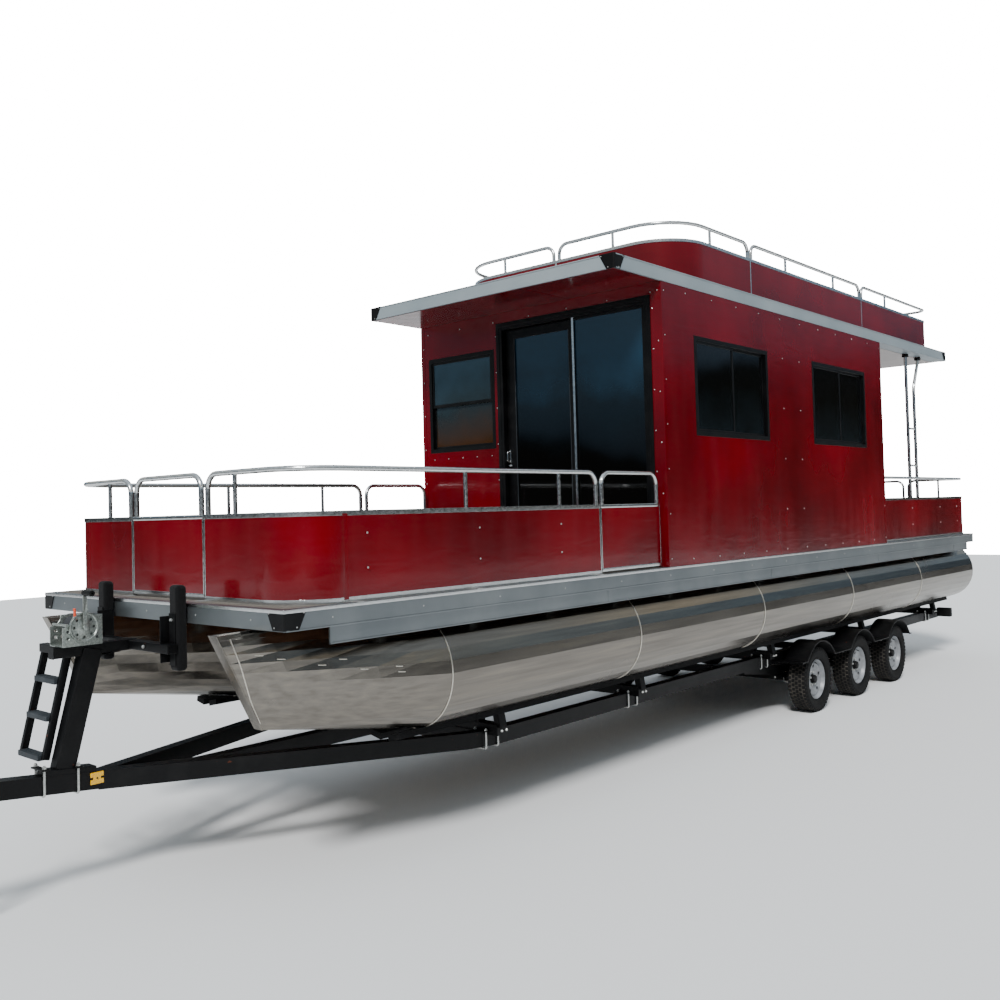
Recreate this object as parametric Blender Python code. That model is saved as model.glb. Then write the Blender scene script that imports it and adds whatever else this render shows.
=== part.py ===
# Houseboat with two pontoons, a cabin and an upper deck, parked on its three-axle trailer.
# Metres, +Z up. The bow points to -Y and port is +X. Places along the boat are given as
# distances aft of the deck's bow edge, and heights as distances above the deck.

import math

import bmesh
import bpy
from mathutils import Matrix, Vector

GAP = 0.0003  # between pieces that touch
UP = Vector((0, 0, 1))
AFT = Vector((0, 1, 0))
ACROSS = Vector((1, 0, 0))
SIDES = (("port", 1), ("starboard", -1))

# Deck
DECK_LENGTH = 10.74
DECK_WIDTH = 2.59
DECK_HEIGHT = 1.535  # above the ground
DECK_THICK = 0.030
HALF = DECK_WIDTH / 2
RIM_DEPTH = 0.107
RIM_THICK = 0.045
SKIRT_THICK = 0.012
SKIRT_INSET = 0.023  # behind the rim's face
SKIRT_LOW = -0.200
SKIRT_FORE = 0.30
SKIRT_AFT = 10.56
LAP = 0.010  # how far joined shapes run into each other
BEAM_SPACING = 0.76
BEAM_WIDE = 0.05
BEAM_LOW = -0.105
RISER_WIDE = 0.10
TONGUE_REACH = 1.80  # coupler's nose ahead of the deck
BOW = (TONGUE_REACH - DECK_LENGTH) / 2

# Pontoons
TUBE_X = 0.930
TUBE_Z = -0.466
TUBE_R = 0.350
TUBE_SIDES = 30
TUBE_FLAT = TUBE_R * math.cos(math.pi / TUBE_SIDES)  # from the axis to a facet
TUBE_FORE = 1.17  # the nose cone's seam
TUBE_AFT = 10.735
STEM_TOP = (-0.165, -0.122)  # aft, up
STEM_LOW = (0.100, -0.640)
STEM_HALF = 0.035
NOSE_STEPS = 5
NOSE_BULGE = 1.6

# Cabin and roof
WALL_THICK = 0.045
CABIN_FORE = 3.476
CABIN_AFT = 7.796
ROOF_FORE = 2.877
ROOF_AFT = 9.935
ROOF_LOW = 2.148
ROOF_TOP = 2.256

# Openings in a wall's face: low along, low up, high along, high up
SIDE_WINDOWS = (("fore", (3.93, 1.000, 5.17, 1.786)), ("aft", (6.07, 1.000, 7.34, 1.786)))
FRONT_WINDOW = (-1.20, 0.990, -0.40, 1.846)
PATIO_DOOR = (-0.350, GAP, 1.180, 2.040)
AFT_DOOR = (-0.405, GAP, 0.405, 2.030)

# Windows
FRAME_BAR = 0.045
FLANGE_WIDE = 0.018
FLANGE_THICK = 0.007
GLASS_THICK = 0.010
SASH_BAR = 0.036
SASH_INSET = 0.2  # share of the frame's depth

# Patio door
PATIO_BAR = 0.045
PATIO_DEPTH = 0.092
LEAF_SET = 0.008  # fixed pane behind the frame's face
LEAF_DEPTH = 0.030
LEAF_STILE = 0.050
LEAF_CLEAR = 0.006
PANE_LAP = 0.030
PANE_SET = 0.010
MEETING_X = 0.455
TRACK_TALL = 0.012
TRACK_THICK = 0.008
SHOE_HALF = 0.020
SHOE_INSET = 0.10

# Aft door
DOOR_CLEAR = 0.006
DOOR_SILL = 0.012
DOOR_THICK = 0.040
DOOR_WINDOW = (-0.275, 1.05, 0.275, 1.88)
DOOR_PANE_SET = 0.015
DOOR_PIN = (0.402, CABIN_AFT + 0.012)  # x, aft
DOOR_HINGES = (0.25, 1.75)
DOOR_BARREL = (0.05, 0.10)  # wall's part, door's part

# Fences: heights above the deck they stand on
FENCE_THICK = 0.028
PANEL_THICK = 0.020
CHANNEL_TALL = 0.026
PANEL_TOP = 0.478
RAIL_TOP = 0.716
RAIL_R = 0.016
POST_R = 0.0125
POST_SIDES = 6
RAIL_END = 0.030  # from a section's end to its rail
RAIL_SUNK = 0.020
FENCE_X = 1.236
BOW_FENCE = 0.144
STERN_FENCE = 10.60
BOW_CORNER_R = 0.30
STERN_CORNER_R = 0.12
CORNER_STEPS = 6
RAIL_BEND_R = 0.085
RAIL_BEND_STEPS = 3
BOW_GATE_HALF = 0.39
STERN_GATE_HALF = 0.52
SIDE_GATE = (2.69, 3.445)
GATE_CLEAR = 0.003
GATE_LIFT = 0.012
BOW_POSTS = (0.293, 1.93, 2.82)  # along the fence from the bow gate
STERN_POSTS = (0.93, 1.87)  # along the fence from the cabin
HINGE_R = 0.009
HINGE_INBOARD = 0.010
HINGE_LONG = 0.040
HINGE_HEIGHTS = (0.10, 0.38)
STRAP_REACH = 0.025
STRAP_THICK = 0.006
STRAP_INSET = 0.004
TAB_THICK = 0.012
TAB_SHARE = 0.8  # of the strap's reach
UPPER_X = 1.190
UPPER_FORE = 3.880
UPPER_AFT = 9.600
UPPER_PANEL_TOP = 0.354
UPPER_RAIL_TOP = 0.499
UPPER_CORNER_R = 0.42
UPPER_AFT_CORNER_R = 0.12
UPPER_RETURN_X = -0.64  # the port section's inner end, beside the ladder
UPPER_SEAMS = (5.10, 7.57)
UPPER_FRONT_POST = 0.593  # off the centre line
UPPER_SIDE_POSTS = (4.42, 5.81, 6.88, 8.27)
UPPER_AFT_POSTS = {"port": (0.60, -0.05), "starboard": ()}

# Roof posts and ladder
ROOF_POST_X = 1.180
ROOF_POST_AFT = (8.88, 9.11)
ROOF_POST_R = 0.019
ROOF_POST_LEAN = 0.17
ROOF_POST_KINK = (1.77, 2.088)  # where the aft tube leans, and where it is upright again
ROOF_POST_BEND = (0.08, 3)  # radius, steps
ROOF_POST_RUNGS = (0.42, 0.85, 1.28)
FLANGE_HALF = 0.036
PLATE_THICK = 0.008
TUBE_SUNK = 0.005
LADDER_X = -0.84
LADDER_HALF = 0.17
LADDER_RUNGS = 8
LADDER_FOOT = ROOF_AFT + 0.30
LADDER_HEAD = ROOF_AFT + 0.06
LADDER_END = ROOF_AFT - 0.22
LADDER_TOP = ROOF_TOP + 0.45
LADDER_BEND_R = 0.10
LADDER_BEND_STEPS = 4

# Trailer frame
TYRE_R = 0.305
AXLE_UP = TYRE_R - DECK_HEIGHT
RAIL_X = 0.900
RAIL_WIDE = 0.080
RAIL_TALL = 0.100
RAIL_UP = -1.005
RAIL_FORE = 1.80
RAIL_AFT = 10.36
RAIL_CORNER = (0.8, 4)  # radius, steps
APEX = (-0.30, -0.945)  # aft, up
TONGUE_FORE = -1.72
TONGUE_AFT = 1.86
TONGUE_WIDE = 0.090
TONGUE_TALL = 0.096
TONGUE_BEND = 0.30
TONGUE_RISE = 0.105
CROSS_AFT = (1.85, 3.45, 5.60, 7.70, 9.95)
CROSS_WIDE = 0.080
CROSS_TALL = 0.070
CROSS_LOW = RAIL_UP + RAIL_TALL / 2 - 0.020
CROSS_REACH = RAIL_X + 0.13
TONGUE_CROSS = (1.80, 1.90)
SUBRAIL = ((5.25, -0.03), (5.85, -0.115), (8.75, -0.115))  # aft, up from the rail's middle
SUBRAIL_WIDE = 0.06
SUBRAIL_TALL = 0.08
SUBRAIL_LOW = RAIL_UP + SUBRAIL[-1][1] - SUBRAIL_TALL / 2
COUPLER_HALF = 0.055
COUPLER_LONG = 0.23
COUPLER_LOW = -0.03
COUPLER_TOP = 0.055

# Bunks
BUNK_TURN = 2 * math.pi / TUBE_SIDES
BUNK_WIDE = 0.09
BUNK_THICK = 0.036
BUNK_FORE = 0.95
BUNK_AFT = 10.40
BRACKET_WIDE = 0.06
BRACKET_THICK = 0.05
BRACKET_LONG = 0.085

# Axles, wheels and fenders
AXLES = (6.20, 7.20, 8.20)
WHEEL_X = 1.110
AXLE_WIDE = 0.07
AXLE_REACH = 1.0
SPINDLE_R = 0.0286
SPINDLE_IN = 0.95
SPINDLE_OUT = WHEEL_X - 0.045
SPRING_HALF = 0.36
SPRING_WIDE = 0.045
SPRING_THICK = 0.028
SPRING_DROP = 0.02
SPRING_BEND = (0.9, 4)  # radius, steps
SHACKLE_SPOTS = (-0.35, 0.35)
SHACKLE_HALF = 0.02
SHACKLE_LONG = 0.04
TYRE_WIDE = 0.178
TYRE_STEPS = 40
WHEEL_STEPS = 24
# radius, share of the tyre's width
TYRE_PROFILE = (
    (0.186, -0.36),
    (0.200, -0.46),
    (0.245, -0.50),
    (0.285, -0.47),
    (TYRE_R, -0.40),
    (TYRE_R, 0.40),
    (0.285, 0.47),
    (0.245, 0.50),
    (0.200, 0.46),
    (0.186, 0.36),
)
# radius, outboard
WHEEL_PROFILE = (
    (0.0292, -0.045),
    (0.050, -0.045),
    (0.050, 0.000),
    (0.150, 0.004),
    (0.152, -0.055),
    (0.1855, -0.064),
    (0.1735, -0.055),
    (0.1735, 0.055),
    (0.1855, 0.064),
    (0.158, 0.062),
    (0.146, 0.020),
    (0.045, 0.012),
    (0.040, 0.060),
    (0.0292, 0.060),
)
FENDER_R = 0.370
FENDER_THICK = 0.006
FENDER_IN = 1.010
FENDER_OUT = 1.240
FENDER_STEPS = 10
FENDER_START = 145  # degrees round each wheel
FENDER_VALLEY = 35
FENDER_END = 30
FENDER_LIPS = (0.12, 0.05)
FENDER_BRACKETS = ((AXLES[0] - 0.38, 0.05), (AXLES[0] + 0.5, 0.13), (AXLES[1] + 0.5, 0.13))
FENDER_BRACKET_IN = 0.08
FENDER_BRACKET = (0.003, 0.012)  # below the valley: top, bottom

# Tongue jack
JACK_AFT = -1.15
JACK_X = 0.085
JACK_SLEEVE = (0.030, -0.30, 0.42)  # radius, low and high from the tongue's middle
JACK_RAM = (0.024, -0.25)
JACK_SIDES = 12
JACK_FOOT_HALF = 0.07
JACK_FOOT_THICK = 0.01
JACK_CLAMP_HALF = 0.06
CRANK_UP = 0.40
CRANK_REACH = 0.16
CRANK_R = 0.008
CRANK_GRIP = (0.012, 0.10)

# Winch stand, its ladder, the bow stops and the winch
STAND_FOOT = -0.49
STAND_FOOT_REACH = (-0.12, 0.16)
STAND_FOOT_THICK = 0.03
STAND_HEAD = (-0.33, -0.23)  # aft, up
STAND_WIDE = 0.08
STAND_DEEP = (-0.06, 0.05)
BAR_UP = -0.235
BAR_AFT = (-0.545, -0.075)
BAR_HALF = 0.03
GUIDE_X = 0.40
GUIDE_BEAM = (-0.13, -0.07)  # aft
GUIDE_BEAM_HALF = 0.025
GUIDE_AFT = (GUIDE_BEAM[1] + GAP, -0.006)
GUIDE_UP = (-0.36, 0.10)
GUIDE_WIDE = 0.09
STEP_XS = (-0.06, -0.33)
STEP_LOW = (-0.56, -0.80)  # aft, up
STEP_HIGH = (-0.43, -0.25)
STEP_UPS = (-0.40, -0.59, -0.79)
STEP_SIDE = (0.03, 0.04)
STEP_DEEP = (-0.05, 0.04)
STEP_HALF = 0.015
STEP_TOP = ((-0.34, -0.46, -0.262), (0.0, -0.41, -0.215))
WINCH_HALF = 0.075
WINCH_AFT = (-0.52, -0.30)
WINCH_CHEEK = 0.005
WINCH_BASE = 0.01
WINCH_TALL = 0.16
DRUM_AFT = -0.41
DRUM_UP = 0.11
DRUM_R = 0.045
DRUM_X = (-0.09, 0.12)
DRUM_SIDES = 16

# Finishes: colour, roughness, metallic
FINISHES = {
    "red panel": ((0.36, 0.004, 0.016), 0.22, 0.0),
    "aluminium": ((0.72, 0.73, 0.75), 0.34, 0.9),
    "deck board": ((0.42, 0.42, 0.40), 0.80, 0.0),
    "roof panel": ((0.55, 0.60, 0.66), 0.40, 0.5),
    "black frame": ((0.012, 0.012, 0.014), 0.35, 0.0),
    "black steel": ((0.010, 0.010, 0.012), 0.42, 0.2),
    "bunk carpet": ((0.008, 0.008, 0.009), 0.95, 0.0),
    "galvanised steel": ((0.50, 0.51, 0.50), 0.45, 0.85),
    "rubber": ((0.015, 0.015, 0.016), 0.80, 0.0),
    "white steel": ((0.62, 0.62, 0.62), 0.40, 0.0),
}
SHARP_ANGLE = math.radians(35)


def clear_scene():
    for thing in list(bpy.data.objects):
        bpy.data.objects.remove(thing, do_unlink=True)


def finish(name):
    if name in bpy.data.materials:
        return bpy.data.materials[name]
    colour, roughness, metallic = FINISHES[name]
    material = bpy.data.materials.new(name)
    material.use_nodes = True
    shader = material.node_tree.nodes["Principled BSDF"]
    shader.inputs["Base Color"].default_value = (*colour, 1)
    shader.inputs["Roughness"].default_value = roughness
    shader.inputs["Metallic"].default_value = metallic
    material.diffuse_color = (*colour, 1)
    return material


def at(x, aft, up):
    return Vector((x, BOW + aft, DECK_HEIGHT + up))


def block(low, high):
    """A box between two corners, each given as (x, aft, up)."""
    bm = bmesh.new()
    low, high = at(*low), at(*high)
    bmesh.ops.create_cube(bm, size=1)
    bmesh.ops.scale(bm, vec=high - low, verts=bm.verts)
    bmesh.ops.translate(bm, vec=(low + high) / 2, verts=bm.verts)
    return bm


def side_block(side, xs, afts, ups):
    """A box on the port side, or its mirror image to starboard."""
    low, high = sorted(side * x for x in xs)
    return block((low, afts[0], ups[0]), (high, afts[1], ups[1]))


def round_profile(radius, sides):
    turns = [2 * math.pi * i / sides for i in range(sides)]
    return [(radius * math.cos(t), radius * math.sin(t)) for t in turns]


def flat_profile(wide, low, high):
    return [(-wide / 2, low), (wide / 2, low), (wide / 2, high), (-wide / 2, high)]


def panel_profile(top):
    """A fence's section: a thin panel between a bottom channel and a cap."""
    wide, thin = FENCE_THICK / 2, PANEL_THICK / 2
    right = [
        (wide, GAP),
        (wide, CHANNEL_TALL),
        (thin, CHANNEL_TALL),
        (thin, top - CHANNEL_TALL),
        (wide, top - CHANNEL_TALL),
        (wide, top),
    ]
    return right + [(-u, v) for u, v in reversed(right)]


def loft(rings, closed=False):
    """A skin over rings of points, capped at both ends or joined into a loop."""
    bm = bmesh.new()
    rows = [[bm.verts.new(point) for point in ring] for ring in rings]
    pairs = list(zip(rows, rows[1:])) + ([(rows[-1], rows[0])] if closed else [])
    for first, second in pairs:
        for j in range(len(first)):
            k = (j + 1) % len(first)
            bm.faces.new((first[j], first[k], second[k], second[j]))
    if not closed:
        bm.faces.new(rows[0])
        bm.faces.new(rows[-1])
    bmesh.ops.recalc_face_normals(bm, faces=bm.faces)
    return bm


def sweep(path, profile, up=UP):
    """A profile of (side, up) points carried along a path with mitred corners."""
    steps = [(b - a).normalized() for a, b in zip(path, path[1:])]
    side = steps[0].cross(up).normalized()
    top = side.cross(steps[0])
    rings = []
    for i, point in enumerate(path):
        before = steps[max(i - 1, 0)]
        after = steps[min(i, len(steps) - 1)]
        mitre = before + after
        ring = []
        for u, v in profile:
            offset = side * u + top * v
            ring.append(point + offset - before * (offset.dot(mitre) / before.dot(mitre)))
        turn = before.rotation_difference(after)
        side = turn @ side
        top = turn @ top
        rings.append(ring)
    return loft(rings)


def turned(profile, centre, steps):
    """A closed profile of (radius, along) points turned about a line along X."""
    rings = []
    for i in range(steps):
        turn = 2 * math.pi * i / steps - math.pi / 2
        spoke = AFT * math.cos(turn) + UP * math.sin(turn)
        rings.append([centre + ACROSS * along + spoke * radius for radius, along in profile])
    return loft(rings, closed=True)


def tube(path, radius, sides=8):
    upright = abs((path[1] - path[0]).normalized().z) > 0.9
    return sweep(path, round_profile(radius, sides), up=AFT if upright else UP)


def pierced(origin, across, rise, depth, outline, holes=()):
    """A plate with rectangular holes, drawn on two directions and given its depth."""
    rectangles = [outline, *holes]
    us = sorted({value for r in rectangles for value in (r[0], r[2])})
    vs = sorted({value for r in rectangles for value in (r[1], r[3])})
    bm = bmesh.new()
    verts = {(u, v): bm.verts.new(origin + across * u + rise * v) for u in us for v in vs}
    for u0, u1 in zip(us, us[1:]):
        for v0, v1 in zip(vs, vs[1:]):
            u, v = (u0 + u1) / 2, (v0 + v1) / 2
            if any(h[0] < u < h[2] and h[1] < v < h[3] for h in holes):
                continue
            bm.faces.new([verts[u0, v0], verts[u1, v0], verts[u1, v1], verts[u0, v1]])
    loose = [vert for vert in bm.verts if not vert.link_faces]
    bmesh.ops.delete(bm, geom=loose, context="VERTS")
    grown = bmesh.ops.extrude_face_region(bm, geom=bm.faces[:])
    far = [item for item in grown["geom"] if isinstance(item, bmesh.types.BMVert)]
    bmesh.ops.translate(bm, vec=depth, verts=far)
    bmesh.ops.recalc_face_normals(bm, faces=bm.faces)
    return bm


def shrunk(rectangle, by):
    u0, v0, u1, v1 = rectangle
    return (u0 + by, v0 + by, u1 - by, v1 - by)


def bent(points, radius, steps):
    """A path through corner points with each inner corner rounded."""
    path = [points[0]]
    for before, corner, after in zip(points, points[1:], points[2:]):
        back = (before - corner).normalized()
        ahead = (after - corner).normalized()
        half = back.angle(ahead) / 2
        reach = radius / math.tan(half)
        start = corner + back * reach
        end = corner + ahead * reach
        centre = corner + (back + ahead).normalized() * (radius / math.sin(half))
        spoke = start - centre
        swing = spoke.rotation_difference(end - centre)
        for i in range(steps + 1):
            part = Matrix.Rotation(swing.angle * i / steps, 3, swing.axis)
            path.append(centre + part @ spoke)
    path.append(points[-1])
    return path


def cut(path, start, end):
    """The stretch of a path between two distances along it."""
    kept = []
    travelled = 0.0
    for a, b in zip(path, path[1:]):
        length = (b - a).length
        if travelled + length > start and travelled < end:
            if not kept:
                kept.append(a.lerp(b, max(0.0, (start - travelled) / length)))
            kept.append(a.lerp(b, min(1.0, (end - travelled) / length)))
        travelled += length
    return kept


def path_length(path):
    return sum((b - a).length for a, b in zip(path, path[1:]))


def point_along(path, distance):
    return cut(path, distance, distance + 0.001)[0]


def distance_to(path, place):
    """How far along a path a place on it lies."""
    travelled = 0.0
    best = (math.inf, 0.0)
    for a, b in zip(path, path[1:]):
        step = b - a
        share = min(1.0, max(0.0, (place - a).dot(step) / step.length_squared))
        off = (a + step * share - place).length
        best = min(best, (off, travelled + share * step.length))
        travelled += step.length
    return best[1]


def add_object(name, pieces, origin):
    mesh = bpy.data.meshes.new(name)
    whole = bmesh.new()
    for piece in pieces:
        piece.to_mesh(mesh)
        whole.from_mesh(mesh)
        piece.free()
    bmesh.ops.translate(whole, vec=-origin, verts=whole.verts)
    whole.to_mesh(mesh)
    whole.free()
    thing = bpy.data.objects.new(name, mesh)
    thing.location = origin
    bpy.context.scene.collection.objects.link(thing)
    return thing


def make(name, surface, pieces, origin=Vector()):
    """One object from closed shapes, united where they overlap."""
    *most, last = pieces
    thing = add_object(name, most or [last], origin)
    if most:
        helper = add_object(name + "_last_shape", [last], Vector())
        helper.hide_render = True
        helper.display_type = "WIRE"
        union = thing.modifiers.new("union", "BOOLEAN")
        union.operation = "UNION"
        union.object = helper
        union.use_self = True
    thing.data.materials.append(finish(surface))
    thing.data.shade_smooth()
    thing.data.set_sharp_from_angle(angle=SHARP_ANGLE)


def make_pontoon(label, side):
    """A tube with flat facets above and below, and a nose that narrows to a raked stem."""
    turns = [2 * math.pi * (i + 0.5) / TUBE_SIDES - math.pi / 2 for i in range(TUBE_SIDES)]
    rings = []
    for i in range(NOSE_STEPS, -1, -1):
        share = i / NOSE_STEPS
        half = TUBE_R + (STEM_HALF - TUBE_R) * share**NOSE_BULGE
        ring = []
        for turn in turns:
            height = (1 + math.sin(turn)) / 2
            stem_aft = STEM_LOW[0] + (STEM_TOP[0] - STEM_LOW[0]) * height
            stem_up = STEM_LOW[1] + (STEM_TOP[1] - STEM_LOW[1]) * height
            tube_up = TUBE_Z + TUBE_R * math.sin(turn)
            x = side * TUBE_X + half * math.cos(turn)
            aft = TUBE_FORE + (stem_aft - TUBE_FORE) * share
            ring.append(at(x, aft, tube_up + (stem_up - tube_up) * share))
        rings.append(ring)
    centre = at(side * TUBE_X, TUBE_AFT, TUBE_Z)
    spokes = [(TUBE_R * math.cos(t), TUBE_R * math.sin(t)) for t in turns]
    rings.append([centre + ACROSS * u + UP * v for u, v in spokes])
    make(f"pontoon_{label}", "aluminium", [loft(rings)])


def make_deck():
    inner = HALF - RIM_THICK - GAP
    fore = RIM_THICK + GAP
    aft = DECK_LENGTH - RIM_THICK - GAP
    make("deck", "deck board", [block((-inner, fore, -DECK_THICK), (inner, aft, 0))])
    outline = (-HALF, 0, HALF, DECK_LENGTH)
    hole = shrunk(outline, RIM_THICK)
    shapes = [pierced(at(0, 0, 0), ACROSS, AFT, -UP * RIM_DEPTH, outline, [hole])]
    face = HALF - SKIRT_INSET
    for _, side in SIDES:
        xs = (face - SKIRT_THICK, face)
        shapes.append(side_block(side, xs, (SKIRT_FORE, SKIRT_AFT), (SKIRT_LOW, LAP - RIM_DEPTH)))
    make("deck_rim", "aluminium", shapes)

    beams = []
    count = round((aft - fore) / BEAM_SPACING)
    for i in range(count + 1):
        middle = fore + BEAM_WIDE / 2 + (aft - fore - BEAM_WIDE) * i / count
        low = (-inner, middle - BEAM_WIDE / 2, BEAM_LOW)
        beams.append(block(low, (inner, middle + BEAM_WIDE / 2, -DECK_THICK - GAP)))
    for _, side in SIDES:
        xs = (TUBE_X - RISER_WIDE / 2, TUBE_X + RISER_WIDE / 2)
        ups = (TUBE_Z + TUBE_FLAT + GAP, BEAM_LOW + LAP)
        beams.append(side_block(side, xs, (fore + LAP, aft - LAP), ups))
    make("deck_frame", "aluminium", beams)


def make_cabin():
    low, high = GAP, ROOF_LOW - GAP
    holes = [window for _, window in SIDE_WINDOWS]
    for label, side in SIDES:
        outline = (CABIN_FORE, low, CABIN_AFT, high)
        inwards = ACROSS * -side * WALL_THICK
        wall = pierced(at(side * HALF, 0, 0), AFT, UP, inwards, outline, holes)
        make(f"{label}_wall", "red panel", [wall])
    inner = HALF - WALL_THICK - GAP
    outline = (-inner, low, inner, high)
    holes = [FRONT_WINDOW, PATIO_DOOR]
    front = pierced(at(0, CABIN_FORE, 0), ACROSS, UP, AFT * WALL_THICK, outline, holes)
    make("front_wall", "red panel", [front])
    back = pierced(at(0, CABIN_AFT, 0), ACROSS, UP, -AFT * WALL_THICK, outline, [AFT_DOOR])
    make("aft_wall", "red panel", [back, *wall_hinges()])
    slab = block((-HALF, ROOF_FORE, ROOF_LOW), (HALF, ROOF_AFT, ROOF_TOP))
    make("roof", "roof panel", [slab])


def sash(face, across, inwards, window, bar):
    """A framed pane in a wall's opening, with a flange on the wall's outer face."""
    outline = shrunk(window, GAP)
    proud = inwards * (GAP + FLANGE_THICK)
    depth = inwards * (GAP + FLANGE_THICK + WALL_THICK)
    hole = shrunk(outline, FRAME_BAR)
    shapes = [pierced(face - proud, across, UP, depth, outline, [hole])]
    flange = shrunk(window, -FLANGE_WIDE)
    shapes.append(pierced(face - proud, across, UP, inwards * FLANGE_THICK, flange, [hole]))
    inset = inwards * (WALL_THICK * SASH_INSET)
    shapes.append(pierced(face + inset, across, UP, inwards * WALL_THICK - inset * 2, bar))
    pane = shrunk(hole, -FRAME_BAR / 2)
    middle = inwards * ((WALL_THICK - GLASS_THICK) / 2)
    shapes.append(pierced(face + middle, across, UP, inwards * GLASS_THICK, pane))
    return shapes


def make_windows():
    for label, side in SIDES:
        for place, window in SIDE_WINDOWS:
            middle = (window[0] + window[2]) / 2
            bar = (middle - SASH_BAR / 2, window[1] + LAP, middle + SASH_BAR / 2, window[3] - LAP)
            shapes = sash(at(side * HALF, 0, 0), AFT, ACROSS * -side, window, bar)
            make(f"{label}_window_{place}", "black frame", shapes)
    middle = (FRONT_WINDOW[1] + FRONT_WINDOW[3]) / 2
    ups = (middle - SASH_BAR / 2, middle + SASH_BAR / 2)
    bar = (FRONT_WINDOW[0] + LAP, ups[0], FRONT_WINDOW[2] - LAP, ups[1])
    shapes = sash(at(0, CABIN_FORE, 0), ACROSS, AFT, FRONT_WINDOW, bar)
    make("front_window", "black frame", shapes)


def make_patio_door():
    face = at(0, CABIN_FORE, 0)
    u0, v0, u1, v1 = shrunk(PATIO_DOOR, GAP)
    hole = shrunk((u0, v0, u1, v1), PATIO_BAR)
    shapes = [pierced(face, ACROSS, UP, AFT * PATIO_DEPTH, (u0, v0, u1, v1), [hole])]
    proud = AFT * (GAP + FLANGE_THICK)
    flange = (u0 - FLANGE_WIDE, v0, u1 + FLANGE_WIDE, v1 + FLANGE_WIDE)
    shapes.append(pierced(face - proud, ACROSS, UP, proud + AFT * -GAP, flange, [hole]))
    shapes.append(pierced(face - proud, ACROSS, UP, proud + AFT * LAP, (u0, v0, u1, v1), [hole]))
    fixed = (MEETING_X - LEAF_STILE / 2, hole[1] - LAP, hole[2] + LAP, hole[3] + LAP)
    depth = AFT * LEAF_DEPTH
    inner = shrunk(fixed, LEAF_STILE)
    shapes.append(pierced(face + AFT * LEAF_SET, ACROSS, UP, depth, fixed, [inner]))
    pane = shrunk(fixed, PANE_LAP)
    start = face + AFT * (LEAF_SET + PANE_SET)
    shapes.append(pierced(start, ACROSS, UP, AFT * GLASS_THICK, pane))
    leaf_aft = LEAF_SET + LEAF_DEPTH + LEAF_CLEAR
    track_aft = CABIN_FORE + leaf_aft + PANE_SET
    track_top = hole[1] + TRACK_TALL
    low = (u0 + LAP, track_aft, hole[1] - LAP)
    shapes.append(block(low, (u1 - LAP, track_aft + TRACK_THICK, track_top)))
    make("patio_door_frame", "black frame", shapes)

    low = track_top + TRACK_THICK
    leaf = (hole[0] + LEAF_CLEAR, low, MEETING_X + LEAF_STILE / 2, hole[3] - LEAF_CLEAR)
    start = face + AFT * leaf_aft
    shapes = [pierced(start, ACROSS, UP, depth, leaf, [shrunk(leaf, LEAF_STILE)])]
    for x in (leaf[0] + SHOE_INSET, leaf[2] - SHOE_INSET):
        corner = (x - SHOE_HALF, track_aft, track_top + GAP)
        shapes.append(block(corner, (x + SHOE_HALF, track_aft + TRACK_THICK, low + LAP)))
    start += AFT * PANE_SET
    shapes.append(pierced(start, ACROSS, UP, AFT * GLASS_THICK, shrunk(leaf, PANE_LAP)))
    make("patio_door_leaf", "black frame", shapes)


def wall_hinges():
    """The hinge barrels on the aft wall, just below the door's own."""
    pin = at(*DOOR_PIN, 0)
    shapes = []
    for up in DOOR_HINGES:
        low = up - DOOR_BARREL[0]
        shapes.append(tube([pin + UP * low, pin + UP * (up - GAP)], HINGE_R))
        corner = (AFT_DOOR[2] + GAP, CABIN_AFT - LAP, low + DOOR_CLEAR)
        far = (DOOR_PIN[0] + HINGE_LONG, CABIN_AFT + DOOR_CLEAR, up - DOOR_CLEAR)
        shapes.append(block(corner, far))
    return shapes


def make_aft_door():
    u0, v0, u1, v1 = AFT_DOOR
    leaf = (u0 + DOOR_CLEAR, DOOR_SILL, u1 - DOOR_CLEAR, v1 - DOOR_CLEAR)
    face = at(0, CABIN_AFT, 0)
    shapes = [pierced(face, ACROSS, UP, -AFT * DOOR_THICK, leaf, [DOOR_WINDOW])]
    pane = shrunk(DOOR_WINDOW, -FRAME_BAR / 2)
    start = face - AFT * DOOR_PANE_SET
    shapes.append(pierced(start, ACROSS, UP, -AFT * GLASS_THICK, pane))
    pin = at(*DOOR_PIN, 0)
    for up in DOOR_HINGES:
        high = up + DOOR_BARREL[1]
        shapes.append(tube([pin + UP * up, pin + UP * high], HINGE_R))
        corner = (DOOR_PIN[0] - HINGE_LONG, CABIN_AFT - LAP, up + LAP)
        shapes.append(block(corner, (DOOR_PIN[0], DOOR_PIN[1], high - LAP)))
    make("aft_door", "red panel", shapes, origin=pin)


def rail_loop(path, low, top):
    """A rail over a stretch of fence, with both ends bent down to the panel."""
    path = cut(path, RAIL_END, path_length(path) - RAIL_END)
    rise = UP * (top - RAIL_R)
    foot = UP * low
    raised = [point + rise for point in path]
    start = bent([path[0] + foot, *raised[:2]], RAIL_BEND_R, RAIL_BEND_STEPS)
    end = bent([*raised[-2:], path[-1] + foot], RAIL_BEND_R, RAIL_BEND_STEPS)
    return tube(start[:-1] + raised[1:-1] + end[1:], RAIL_R)


def fence(path, panel_top, rail_top, posts=(), seams=()):
    """A panel along a path in plan, its rails between seams and the posts under them."""
    shapes = [sweep(path, panel_profile(panel_top))]
    low = panel_top - RAIL_SUNK
    stops = [0, *seams, path_length(path)]
    for start, end in zip(stops, stops[1:]):
        shapes.append(rail_loop(cut(path, start, end), low, rail_top))
    for distance in posts:
        foot = point_along(path, distance)
        ends = [foot + UP * low, foot + UP * (rail_top - RAIL_R)]
        shapes.append(tube(ends, POST_R, POST_SIDES))
    return shapes


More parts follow.
